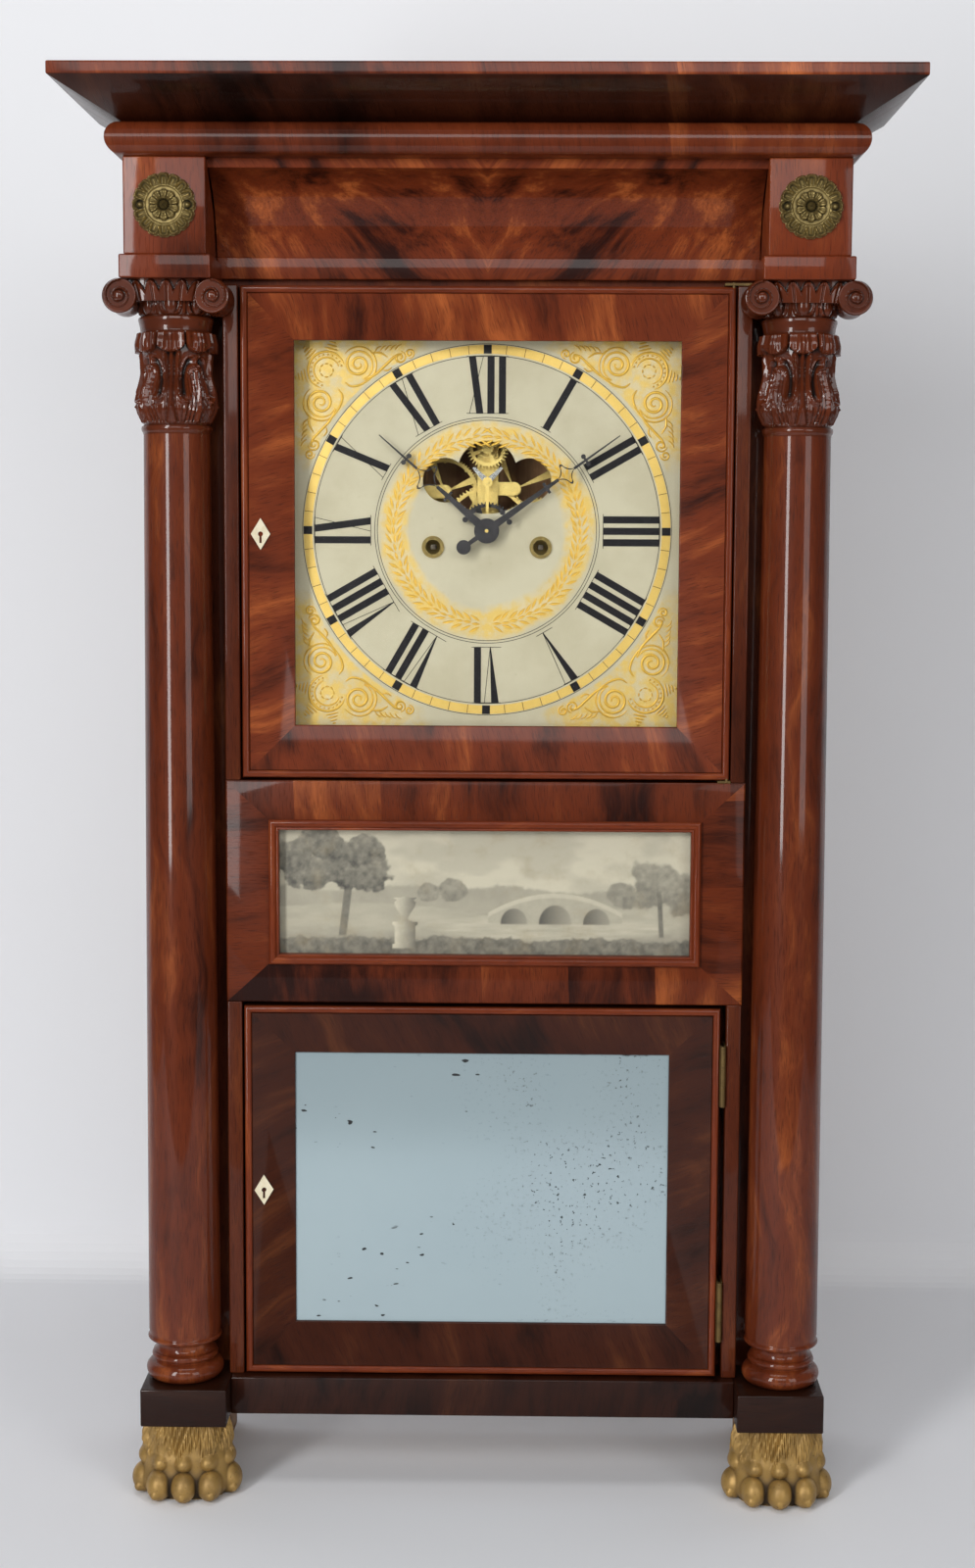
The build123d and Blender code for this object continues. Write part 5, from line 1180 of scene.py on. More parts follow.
def carved_scroll(x, hand):
    """A disc whose face carries a ridge on the spiral radius = start * exp(-turn / fall), with a round eye.
    A waisted barrel runs back from it. hand is 1 where the scroll unrolls to the right and -1 to the left."""
    turn, r = round_grid(120, VOLUTE_R, 0.0, 44)
    side, up = r * np.sin(turn), r * np.cos(turn)
    wind = np.linspace(0, 2.9 * math.pi, 160)
    coil = (VOLUTE_R - VOLUTE_RIM) * np.exp(-wind / SPIRAL_FALL)
    line = np.stack([coil * np.sin(wind), coil * np.cos(wind)], -1)
    bulge = ridge(side, up, line, 0.8, 2.4) - 2.0 * bump(r, 7.0, 3.0)
    eye = 3.1 * dome(r, 3.5) ** 0.6
    bulge = np.maximum(bulge, eye - 0.6)
    rim_drop = smooth_step(r, VOLUTE_R - 0.7, VOLUTE_R) * 1.2
    face = CAP[3] - 3.4 + bulge - rim_drop
    top = CAP_FOOT + CAP_HIGH - VOLUTE_R
    disc = np.stack([x + hand * side, face, top + up], -1)
    back = np.linspace(CAP[3] - 4.6, VOLUTE_BACK, 12)
    waist = VOLUTE_R - 1.8 * np.sin(np.linspace(0, math.pi, 12)) ** 2
    round_turn = turn[0]
    barrel = np.stack([x + hand * waist[:, None] * np.sin(round_turn), back[:, None] + 0 * round_turn,
                       top + waist[:, None] * np.cos(round_turn)], -1)
    return [patch(disc, ring_cols=True, relief=hollows(bulge, 5, 2.6)),
            patch(np.concatenate([disc[:1], barrel]), ring_cols=True),
            patch(to_middle(barrel[-1]), ring_cols=True)]


for side_name, sign in (("left", -1), ("right", 1)):
    middle = sign * VOLUTE_X
    scrolls = carved_scroll(middle - VOLUTE_REACH, -1) + carved_scroll(middle + VOLUTE_REACH, 1)
    carving = [carved_bell(sign * column_x, column_f)] + carved_cushion(middle) + scrolls
    piece("carved_capital_" + side_name, carving, carved_wood, "case",
          ["capital_" + side_name])

# %% [markdown]
# Stamped rosettes
# A rosette was struck from thin brass in a die: a scalloped rim of leaves, a smooth hollow, a flower of ten
# petals and a beaded boss, pinned through two small studs. It is a disc whose height changes with radius and
# angle. Cosines of many times the angle make leaves and petals.

# %% Rosettes
ROSETTE = span("rosettes")
ROSETTE_R = 20.5
ROSETTE_X, ROSETTE_Z = ROSETTE[1] - ROSETTE_R, middle_of(ROSETTE)[2]
RIM_LEAVES, PETALS, BOSS_BEADS = 16, 10, 16
STUD_AT, STUD_R, STUD_SEAT = 15.2, 1.9, 1.4


def stamped_disc(x):
    """Height over the block: leaf rim, hollow, petals and boss, each a bump in radius times a wave in angle,
    and then the two studs."""
    turn, share = round_grid(264, 1.0, 0.0, 66)
    wave = folded(turn, RIM_LEAVES) / (math.pi / RIM_LEAVES)
    rim = ROSETTE_R - 0.9 * smooth_step(wave, 0.55, 1.0)
    r = share * rim
    leaf = smooth_step(r, 12.2, 14.4)
    lip = ridge(wave * 3.6, r, drawn([(3.2, 12.6), (2.9, 16.4), (1.9, 18.9), (0.0, 19.6)]), 0.75, 2.2)
    vein = ridge(wave * 3.6, r, drawn([(0.0, 12.6), (0.0, 17.0)]), 0.6, 0.9)
    height = 1.2 + leaf * (0.5 + np.maximum(lip, vein)) - 0.9 * smooth_step(r, 19.6, ROSETTE_R)
    height += 1.1 * bump(r, 12.4, 0.7)
    petal = folded(turn, PETALS) / (math.pi / PETALS)
    petal_edge = 9.8 - 1.5 * petal ** 2
    flower = smooth_step(r, petal_edge + 0.5, petal_edge - 0.5)
    height += flower * (2.2 - 1.1 * smooth_step(petal, 0.7, 1.0) + 0.6 * bump(r, 8.2, 1.2)
                        - 0.8 * bump(petal, 0.0, 0.3))
    bead = folded(turn, BOSS_BEADS) / (math.pi / BOSS_BEADS)
    height += 1.3 * bump(r, 4.6, 0.8) * (1 - 0.5 * bead) - 0.8 * bump(r, 3.3, 0.6)
    height += 2.2 * dome(r, 2.6)
    side, up = r * np.sin(turn), r * np.cos(turn)
    for stud in (-STUD_AT, STUD_AT):
        gap = np.hypot(side - stud, up)
        height = np.where(gap < 3.0, STUD_SEAT, height)
        height = np.maximum(height, STUD_SEAT + 2.6 * dome(gap, STUD_R))
    height = np.minimum(height, ROSETTE[3] - CASE_FRONT)
    grid = np.stack([x + side, CASE_FRONT + height, ROSETTE_Z + up], -1)
    skirt = np.stack([grid[0], grid[0] * (1, 0, 1) + (0, CASE_FRONT, 0)])
    return [patch(grid, ring_cols=True, relief=hollows(height, 5, 2.4)), patch(skirt, ring_cols=True)]


piece("stamped_rosettes", stamped_disc(-ROSETTE_X) + stamped_disc(ROSETTE_X), rosette_brass, "case",
      ["rosettes"])

# %% [markdown]
# Gilt paw feet
# The front feet are lions' paws, carved and gilded: five toes with knuckles and claws, and hair below the
# plinth. Standing on the foot's upright middle line and looking out level in every direction at every height,
# the paw's surface is the farthest thing met. The body is a rounded outline with skin between the toes. Toes,
# knuckles, tendons and claws are ellipsoids, whose far side along a level ray is the root of a quadratic. A
# soft maximum joins them.

# %% Paw feet
PAW = span("paw_feet")
PAW_WIDE = 38.5
PAW_X = PAW[1] - PAW_WIDE
PAW_F = 6.0
PAW_HIGH = PAW[5]
BODY_POWER = 2.6


def far_side(turn, z, middle, radii):
    """Distance along a level ray to the far side of an ellipsoid, or 0 where the ray misses it."""
    dx, df = np.sin(turn) / radii[0], np.cos(turn) / radii[1]
    ox, of, oz = -middle[0] / radii[0], -middle[1] / radii[1], (z - middle[2]) / radii[2]
    a = dx ** 2 + df ** 2
    b = ox * dx + of * df
    inside = b ** 2 - a * (ox ** 2 + of ** 2 + oz ** 2 - 1)
    return np.where(inside > 0, (-b + np.sqrt(np.maximum(inside, 0))) / a, 0.0)


def soft_max(first, second, blend):
    """The larger of two, rounded over a width where they are nearly equal."""
    h = np.clip(0.5 + 0.5 * (first - second) / blend, 0, 1)
    return second * (1 - h) + first * h + blend * h * (1 - h)


TOES = [(-29.3, 9.0), (-17.2, 25.0), (0.0, 28.6), (17.2, 25.0), (29.3, 9.0)]
TOE = (1.0, 1.0, 10.4, (8.6, 10.2, 10.6), 2.4)
KNUCKLE = (0.93, 0.82, 26.0, (6.4, 9.4, 6.4), 2.4)
TENDON = (0.86, 0.66, 36.0, (5.4, 8.6, 15.0), 3.6)
CLAW_R, CLAW_Z = (3.3, 3.2, 3.6), 6.2


def paw_radius(turn, z):
    """Body and skin, then toes, knuckles, tendons and claws by soft maximum, then hair as fine upright waves.
    Toe, knuckle and tendon give shares of the toe's place, a height, radii and how softly they join."""
    rise = z / PAW_HIGH
    wide = 29.5 - 3.0 * smooth_step(rise, 0.3, 0.95)
    ahead = np.where(np.cos(turn) > 0, 27.0 - 2.0 * rise, 29.5 - 2.0 * rise)
    body = 1.0 / (np.abs(np.sin(turn) / wide) ** BODY_POWER
                  + np.abs(np.cos(turn) / ahead) ** BODY_POWER) ** (1 / BODY_POWER)
    skin = 4.2 * bump(z, 11.0, 9.0) + 2.0 * bump(z, 27.0, 6.5)
    reach = body + skin * smooth_step(np.cos(turn), -0.5, 0.3) - 3.0 * smooth_step(rise, 0.14, 0.0)
    for x, forward in TOES:
        for share_x, share_f, level, radii, blend in (TOE, KNUCKLE, TENDON):
            middle = (share_x * x, share_f * forward, level)
            reach = soft_max(reach, far_side(turn, z, middle, radii), blend)
    for x, forward in TOES:
        claw_at = (1.1 * x, forward + 7.4, CLAW_Z)
        reach = soft_max(reach, far_side(turn, z, claw_at, CLAW_R), 0.6)
    fringe = 31.0 + 2.5 * np.sin(9 * turn) + 1.6 * np.sin(23 * turn + 1.0)
    strands = (np.sin(71 * turn + 0.3 * z + 2.4 * np.sin(7 * turn))
               + np.sin(117 * turn - 0.22 * z + np.sin(5 * turn)))
    hair = smooth_step(z, fringe, fringe + 5.0)
    return reach + hair * (0.6 + 0.42 * strands)


def carved_paw(x):
    """The surface x = r sin, forward = r cos at each angle and height, kept inside the foot's own box."""
    turn, z = round_grid(320, 0.0, PAW_HIGH, 120)
    radius = paw_radius(turn, z)
    px = np.clip(radius * np.sin(turn), -PAW_WIDE, PAW_WIDE)
    pf = np.clip(PAW_F + radius * np.cos(turn), PAW[2], PAW[3])
    grid = np.stack([x + px, pf, z], -1)
    return [patch(grid, ring_cols=True, relief=hollows(radius, 9, 6.0))] + lids(grid)


piece("carved_paws", carved_paw(-PAW_X) + carved_paw(PAW_X), gilt_foot, "case", ["paw_feet"])

# %% [markdown]
# Painting on the dial
# Numerals, rings and minute marks are paint, but thick old paint has an edge that catches light. Each stroke
# is therefore a tile one or two tenths of a millimetre high: its outline, the same outline raised, and its
# middle. The Roman numerals stand with their feet to the middle. A numeral is spelled from three letters,
# each made of broad strokes and hairlines, and turned to its hour.

# %% Tiles, rings and numerals
LINE, PAINT, LEAF = 0.08, 0.16, 0.1
SUNK = -0.3
FOOT_R, HEAD_R = 78.7, 116.6
HOUR_BAR, MINUTE_BAR, RING_LINE = 2.7, 0.18, 0.2


def on_dial(flat, lift):
    """Flat points from the middle of the dial become (x, forward, z) at a height over the dial board."""
    flat = np.asarray(flat, float)
    forward = np.broadcast_to(DIAL_FACE + np.asarray(lift, float), flat.shape[:-1])
    return np.stack([flat[..., 0], forward, CENTRE_Z + flat[..., 1]], -1)


def tile(outline, lift):
    """A raised tile: rows are the outline sunk in the board, the outline raised, and its middle."""
    flat = np.asarray(outline, float)
    middle = np.broadcast_to(flat.mean(0), flat.shape)
    rows = [on_dial(flat, SUNK), on_dial(flat, lift), on_dial(middle, lift)]
    return patch(np.stack(rows), ring_cols=True)


def ring_band(inner, outer, lift):
    """A flat ring: rows run up its inner edge, across its top and down its outer edge."""
    turn = np.linspace(0, 2 * math.pi, 240, endpoint=False)
    circle = np.stack([np.sin(turn), np.cos(turn)], -1)
    rows = [on_dial(inner * circle, SUNK), on_dial(inner * circle, lift), on_dial(outer * circle, lift),
            on_dial(outer * circle, SUNK)]
    return patch(np.stack(rows), ring_cols=True)


def turned_to(minute, local):
    """Points (across, distance from the middle) turned clockwise to a minute of the hour."""
    turn = minute / 60 * 2 * math.pi
    u, r = np.asarray(local, float).T
    return np.stack([u * math.cos(turn) + r * math.sin(turn), -u * math.sin(turn) + r * math.cos(turn)], -1)


BROAD, HAIR = 4.8, 0.42
LETTER_GAP, SERIF_OUT = 2.6, 1.4
LETTERS = {
    "I": (7.7, [((0.0, BROAD), (0.0, BROAD))]),
    "V": (12.2, [((0.0, 5.2), (5.6, 6.2)), ((9.6, 9.6 + HAIR), (5.8, 5.8 + HAIR))]),
    "X": (12.6, [((0.0, BROAD), (5.2, 5.2 + BROAD)), ((9.6, 9.6 + HAIR), (0.4, 0.4 + HAIR))]),
}
HOURS = ["XII", "I", "II", "III", "IIII", "V", "VI", "VII", "VIII", "IX", "X", "XI"]


def numeral(hour, letters):
    """Strokes between the head and foot circles, with a hairline along each end."""
    width = sum(LETTERS[letter][0] for letter in letters) - LETTER_GAP
    at = -width / 2
    made = []
    for letter in letters:
        advance, strokes = LETTERS[letter]
        for (h0, h1), (f0, f1) in strokes:
            box = [(at + f0, FOOT_R), (at + f1, FOOT_R), (at + h1, HEAD_R), (at + h0, HEAD_R)]
            made.append(tile(turned_to(hour * 5, box), PAINT))
        at += advance
    reach = width / 2 + SERIF_OUT
    for level in (FOOT_R, HEAD_R):
        serif = [(-reach, level - HAIR / 2), (reach, level - HAIR / 2), (reach, level + HAIR / 2),
                 (-reach, level + HAIR / 2)]
        made.append(tile(turned_to(hour * 5, serif), LINE))
    return made


strokes = [part for hour, letters in enumerate(HOURS) for part in numeral(hour, letters)]
for minute in range(60):
    half = HOUR_BAR if minute % 5 == 0 else MINUTE_BAR
    bar = [(-half, RING_IN), (half, RING_IN), (half, RING_OUT), (-half, RING_OUT)]
    strokes.append(tile(turned_to(minute, bar), PAINT))
for radius in (RING_OUT + 0.6, RING_IN - 1.3, 76.0, 74.2):
    strokes.append(ring_band(radius - RING_LINE, radius + RING_LINE, LINE))
piece("dial_numerals_and_lines", strokes, black_paint, "case")
piece("dial_minute_ring", [ring_band(RING_IN, RING_OUT, LEAF)], gold_flat, "case")

# %% [markdown]
# Raised gilt ornament
# The wreath and the corner scrolls were built up in thick paint before gilding. The wreath is two branches
# that rise from the bottom, with small leaves set in threes. A leaf is a pointed oval with a groove down its
# middle. The corners are rounded cords of paint laid along spirals, arcs and stems, drawn once for one corner
# and turned into the other three. A common classical scroll of this kind belongs to no one maker.

# %% Wreath leaves
def leaf_shapes(roots, angles, length, width, height):
    """Pointed ovals: t runs along and s across. half width = width * sin(pi t)^0.8 * (1 - 0.2 t), and the
    lift = height * (1 - s^2) * sin(pi t)^0.6, with a groove down the middle."""
    t, s = np.meshgrid(np.linspace(0, 1, 8), np.linspace(-1, 1, 5), indexing="ij")
    half = width * np.sin(math.pi * t) ** 0.8 * (1 - 0.2 * t)
    along, across = t * length, s * half
    lift = height * (1 - s ** 2) * np.sin(math.pi * np.clip(t, 0.04, 0.96)) ** 0.6
    lift = lift * (1 - 0.45 * bump(s, 0.0, 0.3)) + np.where(np.abs(s) > 0.99, SUNK, 0.0)
    c, d = np.cos(angles)[:, None, None], np.sin(angles)[:, None, None]
    x = roots[:, 0][:, None, None] + along * c - across * d
    z = roots[:, 1][:, None, None] + along * d + across * c
    flat = np.stack([x, z], -1)
    # share darkens each leaf's edges with the grime colour: dirt, and painted shade at the foot of the leaf.
    share = np.clip(0.45 + lift / height, 0, 1)
    return [patch(on_dial(shape, lift), relief=share) for shape in flat]


SPRIGS = 34
ROW_GAP, SIDE_LEAN = 1.6, math.radians(33)
SIDE_LEAF_LONG, MIDDLE_LEAF_LONG, LEAF_WIDE, LEAF_HIGH = 8.6, 6.0, 1.25, 0.8
rng = np.random.default_rng(7)
leaves = []
for hand in (-1, 1):
    around = np.linspace(math.radians(176), math.radians(4), SPRIGS)
    tangent_turn = QUARTER - hand * around + hand * QUARTER
    for row in (-1, 0, 1):
        radius = WREATH_MID + ROW_GAP * row + rng.uniform(-0.4, 0.4, SPRIGS)
        roots = np.stack([hand * radius * np.sin(around), radius * np.cos(around)], -1)
        spread = tangent_turn - hand * row * SIDE_LEAN + rng.uniform(-0.14, 0.14, SPRIGS)
        long = SIDE_LEAF_LONG if row else MIDDLE_LEAF_LONG
        leaves += leaf_shapes(roots, spread, long, LEAF_WIDE, LEAF_HIGH)
piece("dial_wreath", leaves, gold_leaf, "case")


# %% Corner scrolls
LINE_SUNK = 0.04


def raised_line(path, width, height):
    """A rounded cord of paint: across the path, offset = width * cos and lift = height * sin, drawn in at
    both ends."""
    side = sideways(path)
    taper = np.sin(math.pi * np.linspace(0.02, 0.98, len(path))) ** 0.35
    turn = np.linspace(0, math.pi, 7)
    flat = path[:, None] + side[:, None] * (width * taper[:, None] * np.cos(turn))[..., None]
    lift = (height * taper)[:, None] * np.sin(turn) - LINE_SUNK
    # The relief darkens the cord's edges with the grime colour: dirt, and painted shade at its foot.
    return patch(on_dial(flat, lift), relief=np.clip(0.4 + lift / height, 0, 1))


def spiral(middle, start, end, first, turns, count=56):
    """Radius falls evenly from start to end while the angle goes round from first."""
    turn = first + np.linspace(0, turns * 2 * math.pi, count)
    r = np.linspace(start, end, count)
    return np.stack([middle[0] + r * np.cos(turn), middle[1] + r * np.sin(turn)], -1)


FAN = np.array([17.0, 17.0])
TO_CORNER = math.radians(225)
CORD_HIGH = 0.85
TIP_HALVES, BAR_WIDE, FINE_WIDE = (4.6, 3.5, 2.4, 1.2), 0.62, 0.5


def stripe_of_tip(lean, away, half):
    """A short bar across a direction from the fan's middle."""
    out = np.array([math.cos(lean), math.sin(lean)])
    side = np.array([-out[1], out[0]])
    return FAN + out * away + side * np.linspace(-half, half, 12)[:, None]


def leaf_tip(lean):
    """Four bars, each shorter and farther out than the last, that taper to a tip."""
    bars = [stripe_of_tip(lean, 14.6 + 2.2 * number, half) for number, half in enumerate(TIP_HALVES)]
    return [(bar, BAR_WIDE) for bar in bars]


def half_corner():
    """Lines on one side of the corner's slanting middle, as (path, width): big scroll, stem, end scrolls,
    curls and one leaf tip."""
    lines = [(spiral((38.5, 13.0), 10.4, 1.2, math.radians(70), -2.3), 0.95),
             (spiral((38.5, 13.0), 12.6, 11.4, math.radians(80), -0.62, 30), 0.6),
             (drawn([(42.5, 23.4), (50, 19.5), (57, 13.2), (63, 7.6), (68, 5.6)]), 0.9),
             (spiral((66.5, 8.4), 4.2, 0.7, math.radians(-80), 1.5, 36), 0.75),
             (spiral((73.0, 5.6), 3.4, 0.6, math.radians(100), -1.5, 36), 0.7),
             (drawn([(46.5, 5.5), (53, 5.2), (58.5, 8.2)]), 0.7),
             (drawn([(29.5, 25.0), (34.0, 27.6), (40.5, 26.2), (47, 22.0)]), 0.8),
             (drawn([(55.0, 16.6), (58.0, 17.0), (61.0, 15.0)]), 0.6)]
    for step in range(5):
        root = (49.5 + 3.4 * step, 4.6 - 0.3 * step)
        curl = [root, (root[0] + 2.0, root[1] - 2.6), (root[0] + 4.6, root[1] - 3.8)]
        lines.append((drawn(curl, 16), FINE_WIDE))
    return lines + leaf_tip(TO_CORNER - math.radians(58))


def whole_corner():
    """Both halves, with the fan's arcs, the tip in the corner, the dots between the arcs and the short bars
    round the fan's middle."""
    half = half_corner()
    lines = half + [(path[:, ::-1], width) for path, width in half]
    wide = math.radians(118)
    for radius, width in ((12.4, 0.9), (8.6, 0.7)):
        turn = np.linspace(TO_CORNER - wide, TO_CORNER + wide, 48)
        lines.append((FAN + radius * np.stack([np.cos(turn), np.sin(turn)], -1), width))
    lines += leaf_tip(TO_CORNER)
    for turn in np.linspace(TO_CORNER - wide, TO_CORNER + wide, 15):
        spot = FAN + 10.5 * np.array([math.cos(turn), math.sin(turn)])
        lines.append((spot + np.stack([np.linspace(-0.7, 0.7, 6), np.zeros(6)], -1), BAR_WIDE))
    for turn in np.linspace(0, 2 * math.pi, 9)[:-1]:
        lines.append((stripe_of_tip(turn, 4.4, 1.2), FINE_WIDE))
    return lines


CORNER_X, CORNER_TOP, CORNER_LOW = 125.5, 124.0, -127.5
corner_lines = whole_corner()
scrollwork = []
for sign in (-1, 1):
    for edge, rise in ((CORNER_TOP, 1), (CORNER_LOW, -1)):
        for path, width in corner_lines:
            placed = np.stack([sign * (CORNER_X - path[:, 0]), edge - rise * path[:, 1]], -1)
            scrollwork.append(raised_line(placed, width, CORD_HIGH))
piece("dial_corner_scrolls", scrollwork, gold_leaf, "case")

# %% [markdown]
# The printed card
# Behind the middle glass lies a grey landscape print. A picture brought in from a file isn't wanted here, so
# the print is drawn by the script: a quiet park with a lake, a stone bridge, trees and an urn, all of them
# simple shapes with soft edges and leafy noise. Each grid point keeps its own grey, which the paper's
# finish reads. The noise is a lattice of chance values, joined smoothly, and seeded so that it never changes.

# %% Draw the park
LATTICE, NOISE_LAYERS = 64, 4
ARCHES = [(162, 9.0), (190, 11.0), (218, 9.0)]
FAR_TREES = [(258, 52, 17), (236, 45, 10), (276, 44, 15), (120, 47, 9), (104, 45, 7)]
TRUNKS = [(46, 0.12, 66, 2.6), (262, -0.06, 48, 1.6)]
NEAR_TREES = [(44, 66, 21), (24, 58, 17), (62, 58, 15), (34, 78, 15), (60, 74, 14), (12, 70, 14)]
URN_X = 88
URN_LINE = [(6, 8.5), (9, 8.5), (9.5, 7), (22, 7), (22.5, 8.6), (24.5, 8.6), (25.2, 3.2), (27, 1.8),
            (30, 3.4), (35, 6.6), (38.5, 7.4), (39.2, 5.4), (41, 7.6), (42, 0)]


def value_noise(x, z, size, seed):
    """Smoothly joined chance values on a square lattice, 0 to 1."""
    lattice = np.random.default_rng(seed).random((LATTICE, LATTICE))
    gx, gz = x / size, z / size
    ix, iz = np.floor(gx).astype(int), np.floor(gz).astype(int)
    tx, tz = smooth_step(gx - ix, 0, 1), smooth_step(gz - iz, 0, 1)
    corner = [lattice[(iz + b) % LATTICE, (ix + a) % LATTICE] for b in (0, 1) for a in (0, 1)]
    low = corner[0] * (1 - tx) + corner[1] * tx
    high = corner[2] * (1 - tx) + corner[3] * tx
    return low * (1 - tz) + high * tz


def leafy(x, z, size, seed):
    """Four sizes of noise added, each half as large and half as strong."""
    layers = [value_noise(x, z, size / 2 ** k, seed + k) / 2 ** k for k in range(NOISE_LAYERS)]
    return sum(layers) / sum(1 / 2 ** k for k in range(NOISE_LAYERS))


def paint_over(tone, mask, colour):
    """The new colour where the mask is 1, the old tone where it is 0."""
    return tone * (1 - mask) + colour * mask


def inside_round(x, z, middle, radii, rough, soft=0.12):
    """1 inside an oval whose edge is pushed about by a rough array, 0 outside."""
    away = np.hypot((x - middle[0]) / radii[0], (z - middle[1]) / radii[1]) + rough
    return smooth_step(away, 1 + soft, 1 - soft)


def park(x, z):
    """Grey tones from 0 to 1, in this order: sky, far wood, lawn, lake, bridge, trees, near bushes, urn."""
    leaf = leafy(x, z, 9.0, 3)
    fine = leafy(x, z, 3.2, 11)
    cloud = leafy(x, 2.2 * z, 46.0, 21)
    tone = 0.74 + 0.16 * smooth_step(cloud, 0.42, 0.62) - 0.1 * smooth_step(z, 60, 91)
    far = 47 + 10 * (leafy(x, 0 * z, 40.0, 31) - 0.4) + 3 * (fine - 0.5)
    tone = paint_over(tone, smooth_step(z, far + 1.5, far - 1.5), 0.56 + 0.16 * (leaf - 0.5))
    lawn = 34 + 3.5 * np.sin(x / 37.0) + 1.5 * (fine - 0.5)
    ground = 0.66 - 0.2 * smooth_step(z, 26, 6) + 0.2 * (leafy(0.3 * x, z, 4.0, 41) - 0.5)
    tone = paint_over(tone, smooth_step(z, lawn + 1.0, lawn - 1.0), ground)
    water = inside_round(x, z, (186, 22), (78, 10.5), 0.1 * (leaf - 0.5))
    ripple = 0.72 + 0.3 * (leafy(0.12 * x, z, 1.9, 51) - 0.5) - 0.16 * smooth_step(z, 24, 32)
    tone = paint_over(tone, water, ripple)
    deck = 44.5 - ((x - 190) / 34.0) ** 2 * 7.5
    stone = smooth_step(np.abs(x - 190), 46, 45) * smooth_step(z, deck + 0.6, deck) * smooth_step(z, 23.5, 25)
    tone = paint_over(tone, stone, 0.8 - 0.12 * (fine - 0.5) - 0.16 * smooth_step(z, deck - 2.2, deck - 3.4))
    for arch_x, arch_r in ARCHES:
        hole = inside_round(x, z, (arch_x, 24), (arch_r, arch_r * 1.15), 0, 0.06) * smooth_step(z, 23.0, 24.0)
        tone = paint_over(tone, hole, 0.3 + 0.02 * (x - arch_x))
    for tree_x, tree_z, tree_r in FAR_TREES:
        crown = inside_round(x, z, (tree_x, tree_z), (tree_r, tree_r * 0.95), 0.75 * (leaf - 0.5), 0.1)
        tone = paint_over(tone, crown, 0.4 + 0.34 * (fine - 0.5) + 0.006 * (z - tree_z))
    for trunk_x, lean, top, thick in TRUNKS:
        trunk = smooth_step(np.abs(x - trunk_x - lean * (z - 20)), thick + 0.5, thick - 0.5)
        trunk = trunk * smooth_step(z, top, top - 4) * smooth_step(z, 14, 16)
        tone = paint_over(tone, trunk, 0.2 + 0.2 * (fine - 0.3))
    for tree_x, tree_z, tree_r in NEAR_TREES:
        crown = inside_round(x, z, (tree_x, tree_z), (tree_r, tree_r * 0.8), 0.9 * (leaf - 0.5), 0.08)
        tone = paint_over(tone, crown, 0.27 + 0.4 * (fine - 0.5) + 0.008 * (z - tree_z))
    near = 12 + 9 * (leafy(x, 0 * z, 22.0, 61) - 0.45) + 4 * (fine - 0.5)
    tone = paint_over(tone, smooth_step(z, near + 1, near - 1), 0.24 + 0.36 * (fine - 0.45))
    urn_half = np.interp(z, *np.transpose(URN_LINE))
    urn = smooth_step(np.abs(x - URN_X), urn_half + 0.4, urn_half - 0.4) * smooth_step(z, 6, 6.6)
    return np.clip(paint_over(tone, urn, 0.78 - 0.05 * (x - 84) + 0.14 * (fine - 0.5)), 0.05, 0.98)


card_x, card_z = np.meshgrid(np.linspace(CARD[0], CARD[1], 400), np.linspace(CARD[4], CARD[5], 132))
print_tone = park(card_x - CARD[0], card_z - CARD[4])
card_face = np.stack([card_x, np.full_like(card_x, CARD[3]), card_z], -1)
rim = np.concatenate([card_face[0], card_face[1:, -1], card_face[-1, ::-1][1:], card_face[::-1, 0][1:-1]])
rim_back = rim * (1, 0, 1) + (0, CARD[2], 0)
card_back = np.stack([rim, rim_back, np.broadcast_to(rim_back.mean(0), rim.shape)])
piece("printed_card_park", [patch(card_face, relief=print_tone),
                            patch(card_back, ring_cols=True, relief=np.full(card_back.shape[:2], 0.7))],
      card_print, "case", ["picture_card"])

# %% [markdown]
# The weight cords
# Each weight hangs on a cotton cord that runs from its drum up to a pulley inside the case and down again.
# The weight holds it taut, so its two runs are straight. The bend round the pulley is one smooth spline
# whose control points form a polygon about the pulley. The hanging run is a piece of its own, because it
# grows shorter as the weight is wound up.

# %% Cords
WEIGHT = span("time_weight")
CORD_R, PULLEY_GROOVE, DRUM_CORE = 0.75, 16.0, 11.0
SHEAVE_R = PULLEY_GROOVE + CORD_R
DRUM_R = DRUM_CORE + CORD_R
hang_x, hang_f = middle_of(WEIGHT)[:2]
pulley = np.array([hang_x - SHEAVE_R, PIVOTS["time_pulley_turn"][2] / MM])
drum = np.array([PIVOTS["time_drum_turn"][0] / MM, PIVOTS["time_drum_turn"][2] / MM])
BENDS = 5


def cord_route():
    """Control points: off the drum on a line that touches both rounds, then a polygon about the pulley."""
    gap = pulley - drum
    turn = math.atan2(gap[1], gap[0]) + math.asin((DRUM_R + SHEAVE_R) / np.linalg.norm(gap))
    off = np.array([math.sin(turn), -math.cos(turn)])
    land = math.atan2(-off[1], -off[0]) % (2 * math.pi)
    bends = land * (1 - (np.arange(BENDS) + 0.5) / BENDS)
    reach = SHEAVE_R / math.cos(land / BENDS / 2)
    around = pulley + reach * np.stack([np.cos(bends), np.sin(bends)], -1)
    start = drum + DRUM_R * off
    touch = pulley - SHEAVE_R * off
    before = touch - 12 * CORD_R * (touch - start) / np.linalg.norm(touch - start)
    return np.concatenate([[start], [before], around, [(hang_x, pulley[1])]])


